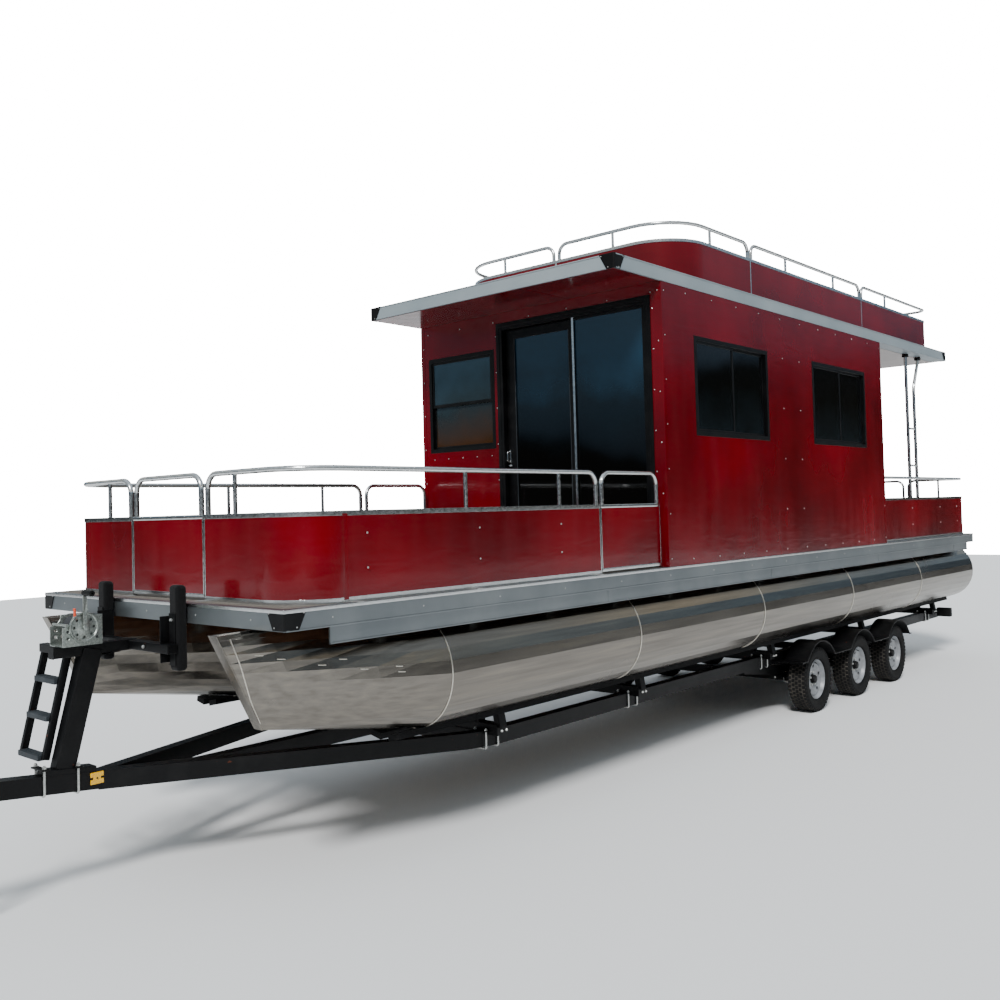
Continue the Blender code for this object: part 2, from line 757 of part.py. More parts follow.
def hinge_parts(pin, along, inboard, on_gate):
    """Barrels on a vertical pin line and the straps that join them to a fence's end."""
    shapes = []
    strap = flat_profile(STRAP_THICK, STRAP_INSET - HINGE_LONG / 2, HINGE_LONG / 2 - STRAP_INSET)
    tab = flat_profile(TAB_THICK, STRAP_INSET - HINGE_LONG / 2, HINGE_LONG / 2 - STRAP_INSET)
    for up in HINGE_HEIGHTS:
        low = up if on_gate else up - HINGE_LONG - GAP
        high = low + HINGE_LONG
        shapes.append(tube([pin + UP * low, pin + UP * high], HINGE_R))
        reach = along * (STRAP_REACH if on_gate else -STRAP_REACH)
        middle = pin + UP * ((low + high) / 2)
        shapes.append(sweep([middle, middle + reach], strap))
        spot = middle + reach * TAB_SHARE
        ends = [spot + inboard * (STRAP_THICK / 2), spot - inboard * (HINGE_INBOARD + STRAP_THICK)]
        shapes.append(sweep(ends, tab))
    return shapes


def hinge_pin(end, inboard):
    return end + inboard * (FENCE_THICK / 2 + HINGE_INBOARD)


def make_side_fences(label, side, bow_pin, stern_pin):
    x = side * FENCE_X
    inboard = ACROSS * -side
    corners = [
        at(side * (BOW_GATE_HALF + GATE_CLEAR), BOW_FENCE, 0),
        at(x, BOW_FENCE, 0),
        at(x, SIDE_GATE[0] - GATE_CLEAR, 0),
    ]
    path = bent(corners, BOW_CORNER_R, CORNER_STEPS)
    shapes = fence(path, PANEL_TOP, RAIL_TOP, BOW_POSTS)
    pin = hinge_pin(at(x, SIDE_GATE[0], 0), inboard)
    shapes += hinge_parts(pin, AFT, inboard, False)
    if side == 1:
        shapes += hinge_parts(bow_pin, -ACROSS, AFT, False)
    make(f"bow_fence_{label}", "red panel", shapes)

    path = [at(x, SIDE_GATE[0] + GATE_CLEAR, GATE_LIFT), at(x, SIDE_GATE[1], GATE_LIFT)]
    shapes = fence(path, PANEL_TOP - GATE_LIFT, RAIL_TOP - GATE_LIFT)
    shapes += hinge_parts(pin, AFT, inboard, True)
    make(f"{label}_gate", "red panel", shapes, origin=pin)

    corners = [
        at(x, CABIN_AFT + GAP, 0),
        at(x, STERN_FENCE, 0),
        at(side * (STERN_GATE_HALF + GATE_CLEAR), STERN_FENCE, 0),
    ]
    path = bent(corners, STERN_CORNER_R, CORNER_STEPS)
    shapes = fence(path, PANEL_TOP, RAIL_TOP, STERN_POSTS)
    if side == 1:
        shapes += hinge_parts(stern_pin, -ACROSS, -AFT, False)
    make(f"stern_fence_{label}", "red panel", shapes)


def make_lower_fences():
    bow_pin = hinge_pin(at(BOW_GATE_HALF, BOW_FENCE, 0), AFT)
    stern_pin = hinge_pin(at(STERN_GATE_HALF, STERN_FENCE, 0), -AFT)
    for label, side in SIDES:
        make_side_fences(label, side, bow_pin, stern_pin)
    # name, half width, aft, inboard direction, pin
    gates = (
        ("bow_gate", BOW_GATE_HALF, BOW_FENCE, AFT, bow_pin),
        ("stern_gate", STERN_GATE_HALF, STERN_FENCE, -AFT, stern_pin),
    )
    for name, half, aft, inboard, pin in gates:
        path = [at(half - GATE_CLEAR, aft, GATE_LIFT), at(GATE_CLEAR - half, aft, GATE_LIFT)]
        shapes = fence(path, PANEL_TOP - GATE_LIFT, RAIL_TOP - GATE_LIFT)
        shapes += hinge_parts(pin, -ACROSS, inboard, True)
        make(name, "red panel", shapes, origin=pin)


def make_upper_fence():
    for label, side in SIDES:
        x = side * UPPER_X
        corners = [
            at(side * GAP, UPPER_FORE, ROOF_TOP),
            at(x, UPPER_FORE, ROOF_TOP),
            at(x, UPPER_AFT - UPPER_CORNER_R, ROOF_TOP),
        ]
        path = bent(corners, UPPER_CORNER_R, CORNER_STEPS)
        ends = [path[-1], at(x, UPPER_AFT, ROOF_TOP)]
        if label == "port":
            ends.append(at(UPPER_RETURN_X, UPPER_AFT, ROOF_TOP))
        path = path[:-1] + bent(ends, UPPER_AFT_CORNER_R, CORNER_STEPS)
        seams = [distance_to(path, at(x, aft, ROOF_TOP)) for aft in UPPER_SEAMS]
        spots = [at(side * UPPER_FRONT_POST, UPPER_FORE, ROOF_TOP)]
        spots += [at(x, aft, ROOF_TOP) for aft in UPPER_SIDE_POSTS]
        spots += [at(post, UPPER_AFT, ROOF_TOP) for post in UPPER_AFT_POSTS[label]]
        posts = [distance_to(path, spot) for spot in spots]
        shapes = fence(path, UPPER_PANEL_TOP, UPPER_RAIL_TOP, posts, seams)
        make(f"upper_fence_{label}", "red panel", shapes)


def make_roof_posts():
    top = ROOF_LOW - GAP
    fore, aft = ROOF_POST_AFT
    leaned = aft + ROOF_POST_LEAN
    # aft, up
    flanges = ((fore, GAP), (aft, GAP), (fore, top - PLATE_THICK), (leaned, top - PLATE_THICK))
    for label, side in SIDES:
        x = side * ROOF_POST_X
        upright = [at(x, fore, TUBE_SUNK), at(x, fore, top - TUBE_SUNK)]
        bends = [
            at(x, aft, TUBE_SUNK),
            at(x, aft, ROOF_POST_KINK[0]),
            at(x, leaned, ROOF_POST_KINK[1]),
            at(x, leaned, top - TUBE_SUNK),
        ]
        shapes = [tube(upright, ROOF_POST_R), tube(bent(bends, *ROOF_POST_BEND), ROOF_POST_R)]
        for up in ROOF_POST_RUNGS:
            shapes.append(tube([at(x, fore, up), at(x, aft, up)], POST_R, POST_SIDES))
        for spot, up in flanges:
            low = (x - FLANGE_HALF, spot - FLANGE_HALF, up)
            shapes.append(block(low, (x + FLANGE_HALF, spot + FLANGE_HALF, up + PLATE_THICK)))
        make(f"roof_post_{label}", "aluminium", shapes)


def make_roof_ladder():
    """A ladder from the stern deck over the roof's aft edge."""
    shapes = []
    for side in (1, -1):
        x = LADDER_X + side * LADDER_HALF
        corners = [
            at(x, LADDER_FOOT, TUBE_SUNK),
            at(x, LADDER_HEAD, LADDER_TOP),
            at(x, LADDER_END, LADDER_TOP),
            at(x, LADDER_END, ROOF_TOP + GAP),
        ]
        shapes.append(tube(bent(corners, LADDER_BEND_R, LADDER_BEND_STEPS), RAIL_R))
        low = (x - FLANGE_HALF, LADDER_FOOT - FLANGE_HALF, GAP)
        shapes.append(block(low, (x + FLANGE_HALF, LADDER_FOOT + FLANGE_HALF, PLATE_THICK)))
    for i in range(LADDER_RUNGS):
        share = (i + 1) / (LADDER_RUNGS + 2)
        aft = LADDER_FOOT + (LADDER_HEAD - LADDER_FOOT) * share
        up = LADDER_TOP * share
        ends = [at(LADDER_X - LADDER_HALF, aft, up), at(LADDER_X + LADDER_HALF, aft, up)]
        shapes.append(tube(ends, POST_R, POST_SIDES))
    make("roof_ladder", "aluminium", shapes)


def tongue_up(aft):
    return RAIL_UP + TONGUE_RISE * max(0.0, TONGUE_BEND - aft)


def bunk_frame(side, inner):
    """The middle of a bunk's top face in section, its outward and its along-face directions."""
    tilt = BUNK_TURN * inner
    down = Vector((math.sin(tilt), 0, -math.cos(tilt)))
    face = Vector((math.cos(tilt), 0, math.sin(tilt)))
    return at(side * TUBE_X, 0, TUBE_Z) + down * (TUBE_FLAT + GAP), down, face


def make_trailer_frame():
    shapes = []
    rail = flat_profile(RAIL_WIDE, -RAIL_TALL / 2, RAIL_TALL / 2)
    subrail = flat_profile(SUBRAIL_WIDE, -SUBRAIL_TALL / 2, SUBRAIL_TALL / 2)
    for _, side in SIDES:
        x = side * RAIL_X
        corners = [at(0, *APEX), at(x, RAIL_FORE, RAIL_UP), at(x, RAIL_AFT, RAIL_UP)]
        shapes.append(sweep(bent(corners, *RAIL_CORNER), rail))
        shapes.append(sweep([at(x, aft, RAIL_UP + up) for aft, up in SUBRAIL], subrail))
    tongue = [at(0, aft, tongue_up(aft)) for aft in (TONGUE_FORE, TONGUE_BEND, TONGUE_AFT)]
    shapes.append(sweep(tongue, flat_profile(TONGUE_WIDE, -TONGUE_TALL / 2, TONGUE_TALL / 2)))
    bracket = flat_profile(BRACKET_THICK, -BRACKET_WIDE / 2, BRACKET_WIDE / 2)
    for aft in CROSS_AFT:
        low = (-CROSS_REACH, aft - CROSS_WIDE / 2, CROSS_LOW)
        shapes.append(block(low, (CROSS_REACH, aft + CROSS_WIDE / 2, CROSS_LOW + CROSS_TALL)))
        for side, inner in ((1, 1), (1, -1), (-1, 1), (-1, -1)):
            top, down, _ = bunk_frame(side, inner)
            seat = top + AFT * aft + down * (BUNK_THICK + GAP)
            shapes.append(sweep([seat, seat + down * BRACKET_LONG], bracket, up=AFT))
    low = RAIL_UP - TONGUE_TALL / 2
    fore, aft = TONGUE_CROSS
    shapes.append(block((-RAIL_X, fore, low), (RAIL_X, aft, low + TONGUE_TALL)))
    nose = tongue_up(TONGUE_FORE)
    low = (-COUPLER_HALF, -TONGUE_REACH, nose + COUPLER_LOW)
    high = (COUPLER_HALF, COUPLER_LONG - TONGUE_REACH, nose + COUPLER_TOP)
    shapes.append(block(low, high))
    make("trailer_frame", "black steel", shapes)


def make_bunks():
    for label, side in SIDES:
        for place, inner in (("outer", side), ("inner", -side)):
            top, down, face = bunk_frame(side, inner)
            half = face * (BUNK_WIDE / 2)
            rings = []
            for aft in (BUNK_FORE, BUNK_AFT):
                spot = top + AFT * aft
                low = spot + down * BUNK_THICK
                rings.append([spot - half, spot + half, low + half, low - half])
            make(f"bunk_{label}_{place}", "bunk carpet", [loft(rings)])


def make_axles():
    low = SUBRAIL_LOW - GAP
    leaf = flat_profile(SPRING_WIDE, -SPRING_THICK / 2, SPRING_THICK / 2)
    tube_half = AXLE_WIDE / 2
    for number, aft in enumerate(AXLES, start=1):
        corner = (-AXLE_REACH, aft - tube_half, AXLE_UP - tube_half)
        shapes = [block(corner, (AXLE_REACH, aft + tube_half, AXLE_UP + tube_half))]
        for _, side in SIDES:
            ends = [at(side * SPINDLE_IN, aft, AXLE_UP), at(side * SPINDLE_OUT, aft, AXLE_UP)]
            shapes.append(tube(ends, SPINDLE_R, WHEEL_STEPS))
            x = side * RAIL_X
            spring = [
                at(x, aft - SPRING_HALF, low - SPRING_DROP),
                at(x, aft, AXLE_UP + SPRING_DROP),
                at(x, aft + SPRING_HALF, low - SPRING_DROP),
            ]
            shapes.append(sweep(bent(spring, *SPRING_BEND), leaf))
            for spot in SHACKLE_SPOTS:
                corner = (x - SHACKLE_HALF, aft + spot - SHACKLE_HALF, low - SHACKLE_LONG)
                shapes.append(block(corner, (x + SHACKLE_HALF, aft + spot + SHACKLE_HALF, low)))
        make(f"axle_{number}", "black steel", shapes)


def make_wheels():
    tyre = [(radius, share * TYRE_WIDE) for radius, share in TYRE_PROFILE]
    for label, side in SIDES:
        wheel = [(radius, side * along) for radius, along in WHEEL_PROFILE]
        for number, aft in enumerate(AXLES, start=1):
            hub = at(side * WHEEL_X, aft, AXLE_UP)
            name = f"tyre_{label}_{number}"
            make(name, "rubber", [turned(tyre, hub, TYRE_STEPS)], origin=hub)
            name = f"wheel_{label}_{number}"
            make(name, "white steel", [turned(wheel, hub, WHEEL_STEPS)], origin=hub)


def make_fenders():
    for label, side in SIDES:
        middle = side * (FENDER_IN + FENDER_OUT) / 2
        path = []
        for aft in AXLES:
            stop = FENDER_END if aft == AXLES[-1] else FENDER_VALLEY
            for i in range(FENDER_STEPS + 1):
                turn = math.radians(FENDER_START - (FENDER_START - stop) * i / FENDER_STEPS)
                along, rise = FENDER_R * math.cos(turn), FENDER_R * math.sin(turn)
                path.append(at(middle, aft + along, AXLE_UP + rise))
        path.insert(0, path[0] - AFT * FENDER_LIPS[0])
        path.append(path[-1] + AFT * FENDER_LIPS[1])
        shapes = [sweep(path, flat_profile(FENDER_OUT - FENDER_IN, -FENDER_THICK, 0))]
        valley = AXLE_UP + FENDER_R * math.sin(math.radians(FENDER_VALLEY))
        xs = (RAIL_X + RAIL_WIDE / 2 + GAP, FENDER_IN + FENDER_BRACKET_IN)
        ups = (valley - FENDER_BRACKET[1], valley - FENDER_BRACKET[0])
        for aft, reach in FENDER_BRACKETS:
            shapes.append(side_block(side, xs, (aft - reach, aft + reach), ups))
        make(f"fender_{label}", "black steel", shapes)


def make_jack():
    up = tongue_up(JACK_AFT)
    ground = -DECK_HEIGHT
    radius, low, high = JACK_SLEEVE
    crank = at(JACK_X, JACK_AFT, up + CRANK_UP)
    grip = crank + ACROSS * CRANK_REACH
    foot_low = (JACK_X - JACK_FOOT_HALF, JACK_AFT - JACK_FOOT_HALF, ground)
    foot_high = (JACK_X + JACK_FOOT_HALF, JACK_AFT + JACK_FOOT_HALF, ground + JACK_FOOT_THICK)
    clamp_low = (TONGUE_WIDE / 2 + GAP, JACK_AFT - JACK_CLAMP_HALF, up - JACK_CLAMP_HALF)
    clamp_high = (JACK_X, JACK_AFT + JACK_CLAMP_HALF, up + JACK_CLAMP_HALF)
    sleeve = [at(JACK_X, JACK_AFT, up + low), at(JACK_X, JACK_AFT, up + high)]
    ram = [at(JACK_X, JACK_AFT, ground + TUBE_SUNK), at(JACK_X, JACK_AFT, up + JACK_RAM[1])]
    shapes = [
        tube(sleeve, radius, JACK_SIDES),
        tube(ram, JACK_RAM[0], JACK_SIDES),
        block(foot_low, foot_high),
        block(clamp_low, clamp_high),
        tube([crank, grip + ACROSS * CRANK_R], CRANK_R),
        tube([grip, grip - UP * CRANK_GRIP[1]], CRANK_GRIP[0]),
    ]
    make("tongue_jack", "galvanised steel", shapes)


def make_winch_stand():
    plate = [at(0, STAND_FOOT + reach, tongue_up(STAND_FOOT + reach)) for reach in STAND_FOOT_REACH]
    seat = TONGUE_TALL / 2
    foot = at(0, STAND_FOOT, tongue_up(STAND_FOOT) + seat + STAND_FOOT_THICK - TUBE_SUNK)
    beam_low = (-GUIDE_X - GUIDE_WIDE / 2, GUIDE_BEAM[0], BAR_UP - GUIDE_BEAM_HALF)
    beam_high = (GUIDE_X + GUIDE_WIDE / 2, GUIDE_BEAM[1], BAR_UP + GUIDE_BEAM_HALF)
    bar_low = (-BAR_HALF, BAR_AFT[0], BAR_UP - BAR_HALF)
    shapes = [
        sweep(plate, flat_profile(TONGUE_WIDE, seat + GAP, seat + STAND_FOOT_THICK)),
        sweep([foot, at(0, *STAND_HEAD)], flat_profile(STAND_WIDE, *STAND_DEEP), up=AFT),
        block(bar_low, (BAR_HALF, BAR_AFT[1], BAR_UP + BAR_HALF)),
        block(beam_low, beam_high),
        block(*STEP_TOP),
    ]
    wide, deep = STEP_SIDE
    for x in STEP_XS:
        ends = [at(x, *STEP_LOW), at(x, *STEP_HIGH)]
        shapes.append(sweep(ends, flat_profile(wide, -deep / 2, deep / 2), up=AFT))
    slope = (STEP_HIGH[0] - STEP_LOW[0]) / (STEP_HIGH[1] - STEP_LOW[1])
    for up in STEP_UPS:
        aft = STEP_LOW[0] + slope * (up - STEP_LOW[1])
        low = (STEP_XS[1], aft + STEP_DEEP[0], up - STEP_HALF)
        shapes.append(block(low, (STEP_XS[0], aft + STEP_DEEP[1], up + STEP_HALF)))
    make("winch_stand", "black steel", shapes)

    for label, side in SIDES:
        xs = (GUIDE_X - GUIDE_WIDE / 2, GUIDE_X + GUIDE_WIDE / 2)
        pad = side_block(side, xs, GUIDE_AFT, GUIDE_UP)
        make(f"bow_stop_{label}", "bunk carpet", [pad])


def make_winch():
    base = BAR_UP + BAR_HALF + GAP
    fore, aft = WINCH_AFT
    drum_up = BAR_UP + DRUM_UP
    shapes = [block((-WINCH_HALF, fore, base), (WINCH_HALF, aft, base + WINCH_BASE))]
    for _, side in SIDES:
        xs = (WINCH_HALF - WINCH_CHEEK, WINCH_HALF)
        shapes.append(side_block(side, xs, WINCH_AFT, (base + TUBE_SUNK, base + WINCH_TALL)))
    ends = [at(x, DRUM_AFT, drum_up) for x in DRUM_X]
    shapes.append(tube(ends, DRUM_R, DRUM_SIDES))
    make("winch", "galvanised steel", shapes)


def build():
    clear_scene()
    make_trailer_frame()
    make_axles()
    make_wheels()
    make_fenders()
    make_bunks()
    make_jack()
    make_winch_stand()
    make_winch()
    for label, side in SIDES:
        make_pontoon(label, side)
    make_deck()
    make_cabin()
    make_windows()
    make_patio_door()
    make_aft_door()
    make_lower_fences()
    make_upper_fence()
    make_roof_posts()
    make_roof_ladder()


build()
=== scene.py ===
import bpy
import math
from mathutils import Matrix, Vector


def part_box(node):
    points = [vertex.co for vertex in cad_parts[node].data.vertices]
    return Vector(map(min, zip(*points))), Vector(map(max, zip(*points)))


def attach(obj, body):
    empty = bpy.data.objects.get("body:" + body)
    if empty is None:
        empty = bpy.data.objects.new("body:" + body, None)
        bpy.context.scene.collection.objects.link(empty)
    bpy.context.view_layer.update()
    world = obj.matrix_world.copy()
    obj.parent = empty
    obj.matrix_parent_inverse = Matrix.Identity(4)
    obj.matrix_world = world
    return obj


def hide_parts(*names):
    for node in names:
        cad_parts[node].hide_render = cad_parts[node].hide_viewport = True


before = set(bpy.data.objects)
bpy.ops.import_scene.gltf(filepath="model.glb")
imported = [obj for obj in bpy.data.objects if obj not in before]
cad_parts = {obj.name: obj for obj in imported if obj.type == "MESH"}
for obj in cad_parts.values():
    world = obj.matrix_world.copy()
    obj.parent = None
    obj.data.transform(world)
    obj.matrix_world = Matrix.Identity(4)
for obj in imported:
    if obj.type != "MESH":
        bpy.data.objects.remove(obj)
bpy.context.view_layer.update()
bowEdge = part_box("deck_rim")[0].y
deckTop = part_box("deck")[1].z
sides = {"port": 1, "starboard": -1}


# camera, a long way forward of the port bow and low down
camera = {
    "place": (5.310, -7.389, 1.989),
    "heading": 41.606,  # degrees round from straight aft
    "tilt": 1.663,
    "roll": -1.562,
    "lens": 35.96,
    "shiftUp": -0.0183,
}

studio = {
    "floorHalf": (22.0, 30.0),
    "floorColour": "#F6F6F5",
    "backdropColour": "#FFFFFF",
    "backdropStrength": 18.0,
    # what the object is lit by, from the horizon up: dark woods, then an evening sky with a warm band
    "sky": ((0.0, "#33302B"), (0.09, "#1B1C1A"), (0.105, "#5E7488"), (0.18, "#8298AB"), (0.29, "#9DAFBD"), (0.36, "#FFEBC4"), (0.44, "#A9B6C1"), (1.0, "#D2DBE4")),
    "skyStrength": 1.15,
    "woods": (0.026, 0.030, 0.11),  # how the tree line climbs to starboard aft and how ragged it is
    "woodsScale": 11.0,
    "sunPower": 3.4,
    "sunTurn": (48, 0, 30),
}


def toLinear(hexColour):
    # sRGB hex to the linear colour that sockets take
    parts = [int(hexColour[i : i + 2], 16) / 255 for i in (1, 3, 5)]
    linear = [c / 12.92 if c <= 0.04045 else ((c + 0.055) / 1.055) ** 2.4 for c in parts]
    return (*linear, 1.0)


def addNode(tree, kind, settings=None, links=None):
    # one node with its settings, and its inputs linked from other nodes' outputs
    node = tree.nodes.new(kind)
    for name, value in (settings or {}).items():
        if name in node.inputs.keys():
            node.inputs[name].default_value = value
        else:
            setattr(node, name, value)
    for name, source in (links or {}).items():
        tree.links.new(source, node.inputs[name])
    return node


def addRamp(tree, source, stops):
    # colours at positions along a value
    ramp = addNode(tree, "ShaderNodeValToRGB", {}, {"Fac": source})
    elements = ramp.color_ramp.elements
    while len(elements) < len(stops):
        elements.new(0.5)
    for element, (position, colour) in zip(elements, stops):
        element.position = position
        element.color = toLinear(colour)
    return ramp.outputs["Color"]


def setUpCamera():
    data = bpy.data.cameras.new("camera")
    data.lens = camera["lens"]
    data.shift_y = camera["shiftUp"]
    thing = bpy.data.objects.new("camera", data)
    bpy.context.scene.collection.objects.link(thing)
    thing.location = camera["place"]
    heading = Matrix.Rotation(math.radians(camera["heading"]), 3, "Z")
    tilt = Matrix.Rotation(math.radians(90 + camera["tilt"]), 3, "X")
    roll = Matrix.Rotation(math.radians(camera["roll"]), 3, "Z")
    thing.rotation_euler = (heading @ tilt @ roll).to_euler()
    bpy.context.scene.camera = thing


def setUpStudio():
    bpy.ops.mesh.primitive_plane_add(size=2, location=(0, 0, 0))
    floor = bpy.context.object
    floor.name = "studioFloor"
    floor.scale = (*studio["floorHalf"], 1)
    bpy.ops.object.transform_apply()
    paint = bpy.data.materials.new("matt painted floor")
    paint.use_nodes = True
    shader = paint.node_tree.nodes["Principled BSDF"]
    shader.inputs["Base Color"].default_value = toLinear(studio["floorColour"])
    shader.inputs["Roughness"].default_value = 0.9
    floor.data.materials.append(paint)
    bpy.ops.object.light_add(type="SUN", location=(0, 0, 12))
    sun = bpy.context.object
    sun.data.energy = studio["sunPower"]
    sun.data.angle = math.radians(12)
    sun.rotation_euler = [math.radians(turn) for turn in studio["sunTurn"]]
    world = bpy.data.worlds.new("studio sky")
    bpy.context.scene.world = world
    world.use_nodes = True
    tree = world.node_tree
    tree.nodes.clear()
    place = addNode(tree, "ShaderNodeTexCoord")
    split = addNode(tree, "ShaderNodeSeparateXYZ", {}, {"Vector": place.outputs["Generated"]})
    leaves = addNode(tree, "ShaderNodeTexNoise", {"Scale": studio["woodsScale"], "Detail": 9.0}, {"Vector": place.outputs["Generated"]})
    height = split.outputs["Z"]
    for share, source in zip(studio["woods"], (split.outputs["X"], split.outputs["Y"], leaves.outputs["Fac"])):
        drop = addNode(tree, "ShaderNodeMath", {"operation": "MULTIPLY_ADD"})
        tree.links.new(source, drop.inputs[0])
        drop.inputs[1].default_value = -share
        tree.links.new(height, drop.inputs[2])
        height = drop.outputs["Value"]
    lift = addNode(tree, "ShaderNodeMath", {"operation": "ADD"})
    tree.links.new(height, lift.inputs[0])
    lift.inputs[1].default_value = studio["woods"][2] / 2
    sky = addRamp(tree, lift.outputs["Value"], studio["sky"])
    light = addNode(tree, "ShaderNodeBackground", {"Strength": studio["skyStrength"]}, {"Color": sky})
    backdrop = addNode(tree, "ShaderNodeBackground", {"Color": toLinear(studio["backdropColour"]), "Strength": studio["backdropStrength"]})
    rays = addNode(tree, "ShaderNodeLightPath")
    mix = addNode(tree, "ShaderNodeMixShader", {}, {"Fac": rays.outputs["Is Camera Ray"]})
    tree.links.new(light.outputs["Background"], mix.inputs[1])
    tree.links.new(backdrop.outputs["Background"], mix.inputs[2])
    addNode(tree, "ShaderNodeOutputWorld", {}, {"Surface": mix.outputs["Shader"]})


setUpCamera()
setUpStudio()
print("camera and studio done")


# finishes


def startFinish(name, roughness, metallic=0.0):
    material = bpy.data.materials.new(name)
    material.use_nodes = True
    tree = material.node_tree
    shader = tree.nodes["Principled BSDF"]
    shader.inputs["Roughness"].default_value = roughness
    shader.inputs["Metallic"].default_value = metallic
    place = addNode(tree, "ShaderNodeTexCoord").outputs["Object"]
    return material, tree, shader, place


def addBump(tree, shader, height, strength, distance):
    bump = addNode(tree, "ShaderNodeBump", {"Strength": strength, "Distance": distance}, {"Height": height})
    tree.links.new(bump.outputs["Normal"], shader.inputs["Normal"])


def linkRoughness(tree, shader, source, low, high):
    spread = addNode(tree, "ShaderNodeMapRange", {"To Min": low, "To Max": high}, {"Value": source})
    tree.links.new(spread.outputs["Result"], shader.inputs["Roughness"])


redPanel = {
    "deep": "#4E0008",
    "bright": "#780011",
    "dust": "#8E4A50",
    "patch": 1.1,  # repeats a metre, so shades drift over about 0.9 m
    "streak": 9.0,
}


def makeRedPanel():
    # prepainted aluminium sheet: glassy red coat over thin metal that waves a little
    material, tree, shader, place = startFinish("gloss red prepainted aluminium sheet", 0.18)
    shader.inputs["Specular IOR Level"].default_value = 0.25
    shader.inputs["Coat Weight"].default_value = 0.2
    shader.inputs["Coat Roughness"].default_value = 0.05
    drift = addNode(tree, "ShaderNodeTexNoise", {"Scale": redPanel["patch"], "Detail": 3.0}, {"Vector": place})
    base = addRamp(tree, drift.outputs["Fac"], ((0.3, redPanel["deep"]), (0.75, redPanel["bright"])))
    drawn = addNode(tree, "ShaderNodeMapping", {"Scale": (1.0, 1.0, 0.12)}, {"Vector": place})
    streak = addNode(tree, "ShaderNodeTexNoise", {"Scale": redPanel["streak"], "Detail": 5.0}, {"Vector": drawn.outputs["Vector"]})
    film = addRamp(tree, streak.outputs["Fac"], ((0.58, "#000000"), (0.90, "#303030")))
    mix = addNode(tree, "ShaderNodeMix", {"data_type": "RGBA"}, {"Factor": film})
    tree.links.new(base, mix.inputs[6])
    mix.inputs[7].default_value = toLinear(redPanel["dust"])
    tree.links.new(mix.outputs[2], shader.inputs["Base Color"])
    linkRoughness(tree, shader, streak.outputs["Fac"], 0.10, 0.30)
    pulled = addNode(tree, "ShaderNodeMapping", {"Scale": (0.35, 0.35, 1.6)}, {"Vector": place})
    wave = addNode(tree, "ShaderNodeTexNoise", {"Scale": 11.0, "Detail": 2.0, "Distortion": 0.6}, {"Vector": pulled.outputs["Vector"]})
    addBump(tree, shader, wave.outputs["Fac"], 0.35, 0.0022)
    return material


def makeMillAluminium():
    # rolled mill-finish plate bent into tubes: long clear reflections, a fine grain along the boat, faint handling marks
    material, tree, shader, place = startFinish("mill-finish rolled aluminium plate", 0.25, 1.0)
    drawn = addNode(tree, "ShaderNodeMapping", {"Scale": (1.0, 0.04, 1.0)}, {"Vector": place})
    grain = addNode(tree, "ShaderNodeTexNoise", {"Scale": 38.0, "Detail": 6.0}, {"Vector": drawn.outputs["Vector"]})
    cloud = addNode(tree, "ShaderNodeTexNoise", {"Scale": 0.9, "Detail": 3.0}, {"Vector": place})
    base = addRamp(tree, grain.outputs["Fac"], ((0.3, "#746F68"), (0.5, "#7F7A73"), (0.72, "#8B857B")))
    tree.links.new(base, shader.inputs["Base Color"])
    linkRoughness(tree, shader, cloud.outputs["Fac"], 0.14, 0.36)
    addBump(tree, shader, cloud.outputs["Fac"], 0.12, 0.006)
    return material


def makeRailAluminium():
    # bright anodised tube: clear highlights with a faint drawn grain
    material, tree, shader, place = startFinish("bright anodised aluminium tube", 0.2, 1.0)
    grain = addNode(tree, "ShaderNodeTexNoise", {"Scale": 60.0, "Detail": 4.0}, {"Vector": place})
    base = addRamp(tree, grain.outputs["Fac"], ((0.35, "#C4C6C6"), (0.65, "#DCDEDE")))
    tree.links.new(base, shader.inputs["Base Color"])
    linkRoughness(tree, shader, grain.outputs["Fac"], 0.14, 0.28)
    addBump(tree, shader, grain.outputs["Fac"], 0.05, 0.0004)
    return material


def makeTrimAluminium():
    # satin extruded aluminium: pale blue-grey faces with fine lines along the length
    material, tree, shader, place = startFinish("satin extruded aluminium", 0.38, 0.9)
    drawn = addNode(tree, "ShaderNodeMapping", {"Scale": (1.0, 0.03, 1.0)}, {"Vector": place})
    line = addNode(tree, "ShaderNodeTexNoise", {"Scale": 120.0, "Detail": 3.0}, {"Vector": drawn.outputs["Vector"]})
    cloud = addNode(tree, "ShaderNodeTexNoise", {"Scale": 2.2, "Detail": 5.0}, {"Vector": place})
    base = addRamp(tree, cloud.outputs["Fac"], ((0.35, "#757B7E"), (0.68, "#888D8F")))
    tree.links.new(base, shader.inputs["Base Color"])
    linkRoughness(tree, shader, cloud.outputs["Fac"], 0.30, 0.46)
    addBump(tree, shader, line.outputs["Fac"], 0.08, 0.0006)
    return material


def makeRoofPanel():
    # coil-coated aluminium sheet: light blue-grey, low sheen, a little chalky
    material, tree, shader, place = startFinish("light blue-grey coil-coated aluminium", 0.42)
    cloud = addNode(tree, "ShaderNodeTexNoise", {"Scale": 1.6, "Detail": 5.0}, {"Vector": place})
    base = addRamp(tree, cloud.outputs["Fac"], ((0.3, "#838F94"), (0.7, "#969FA3")))
    tree.links.new(base, shader.inputs["Base Color"])
    linkRoughness(tree, shader, cloud.outputs["Fac"], 0.34, 0.5)
    addBump(tree, shader, cloud.outputs["Fac"], 0.3, 0.003)
    return material


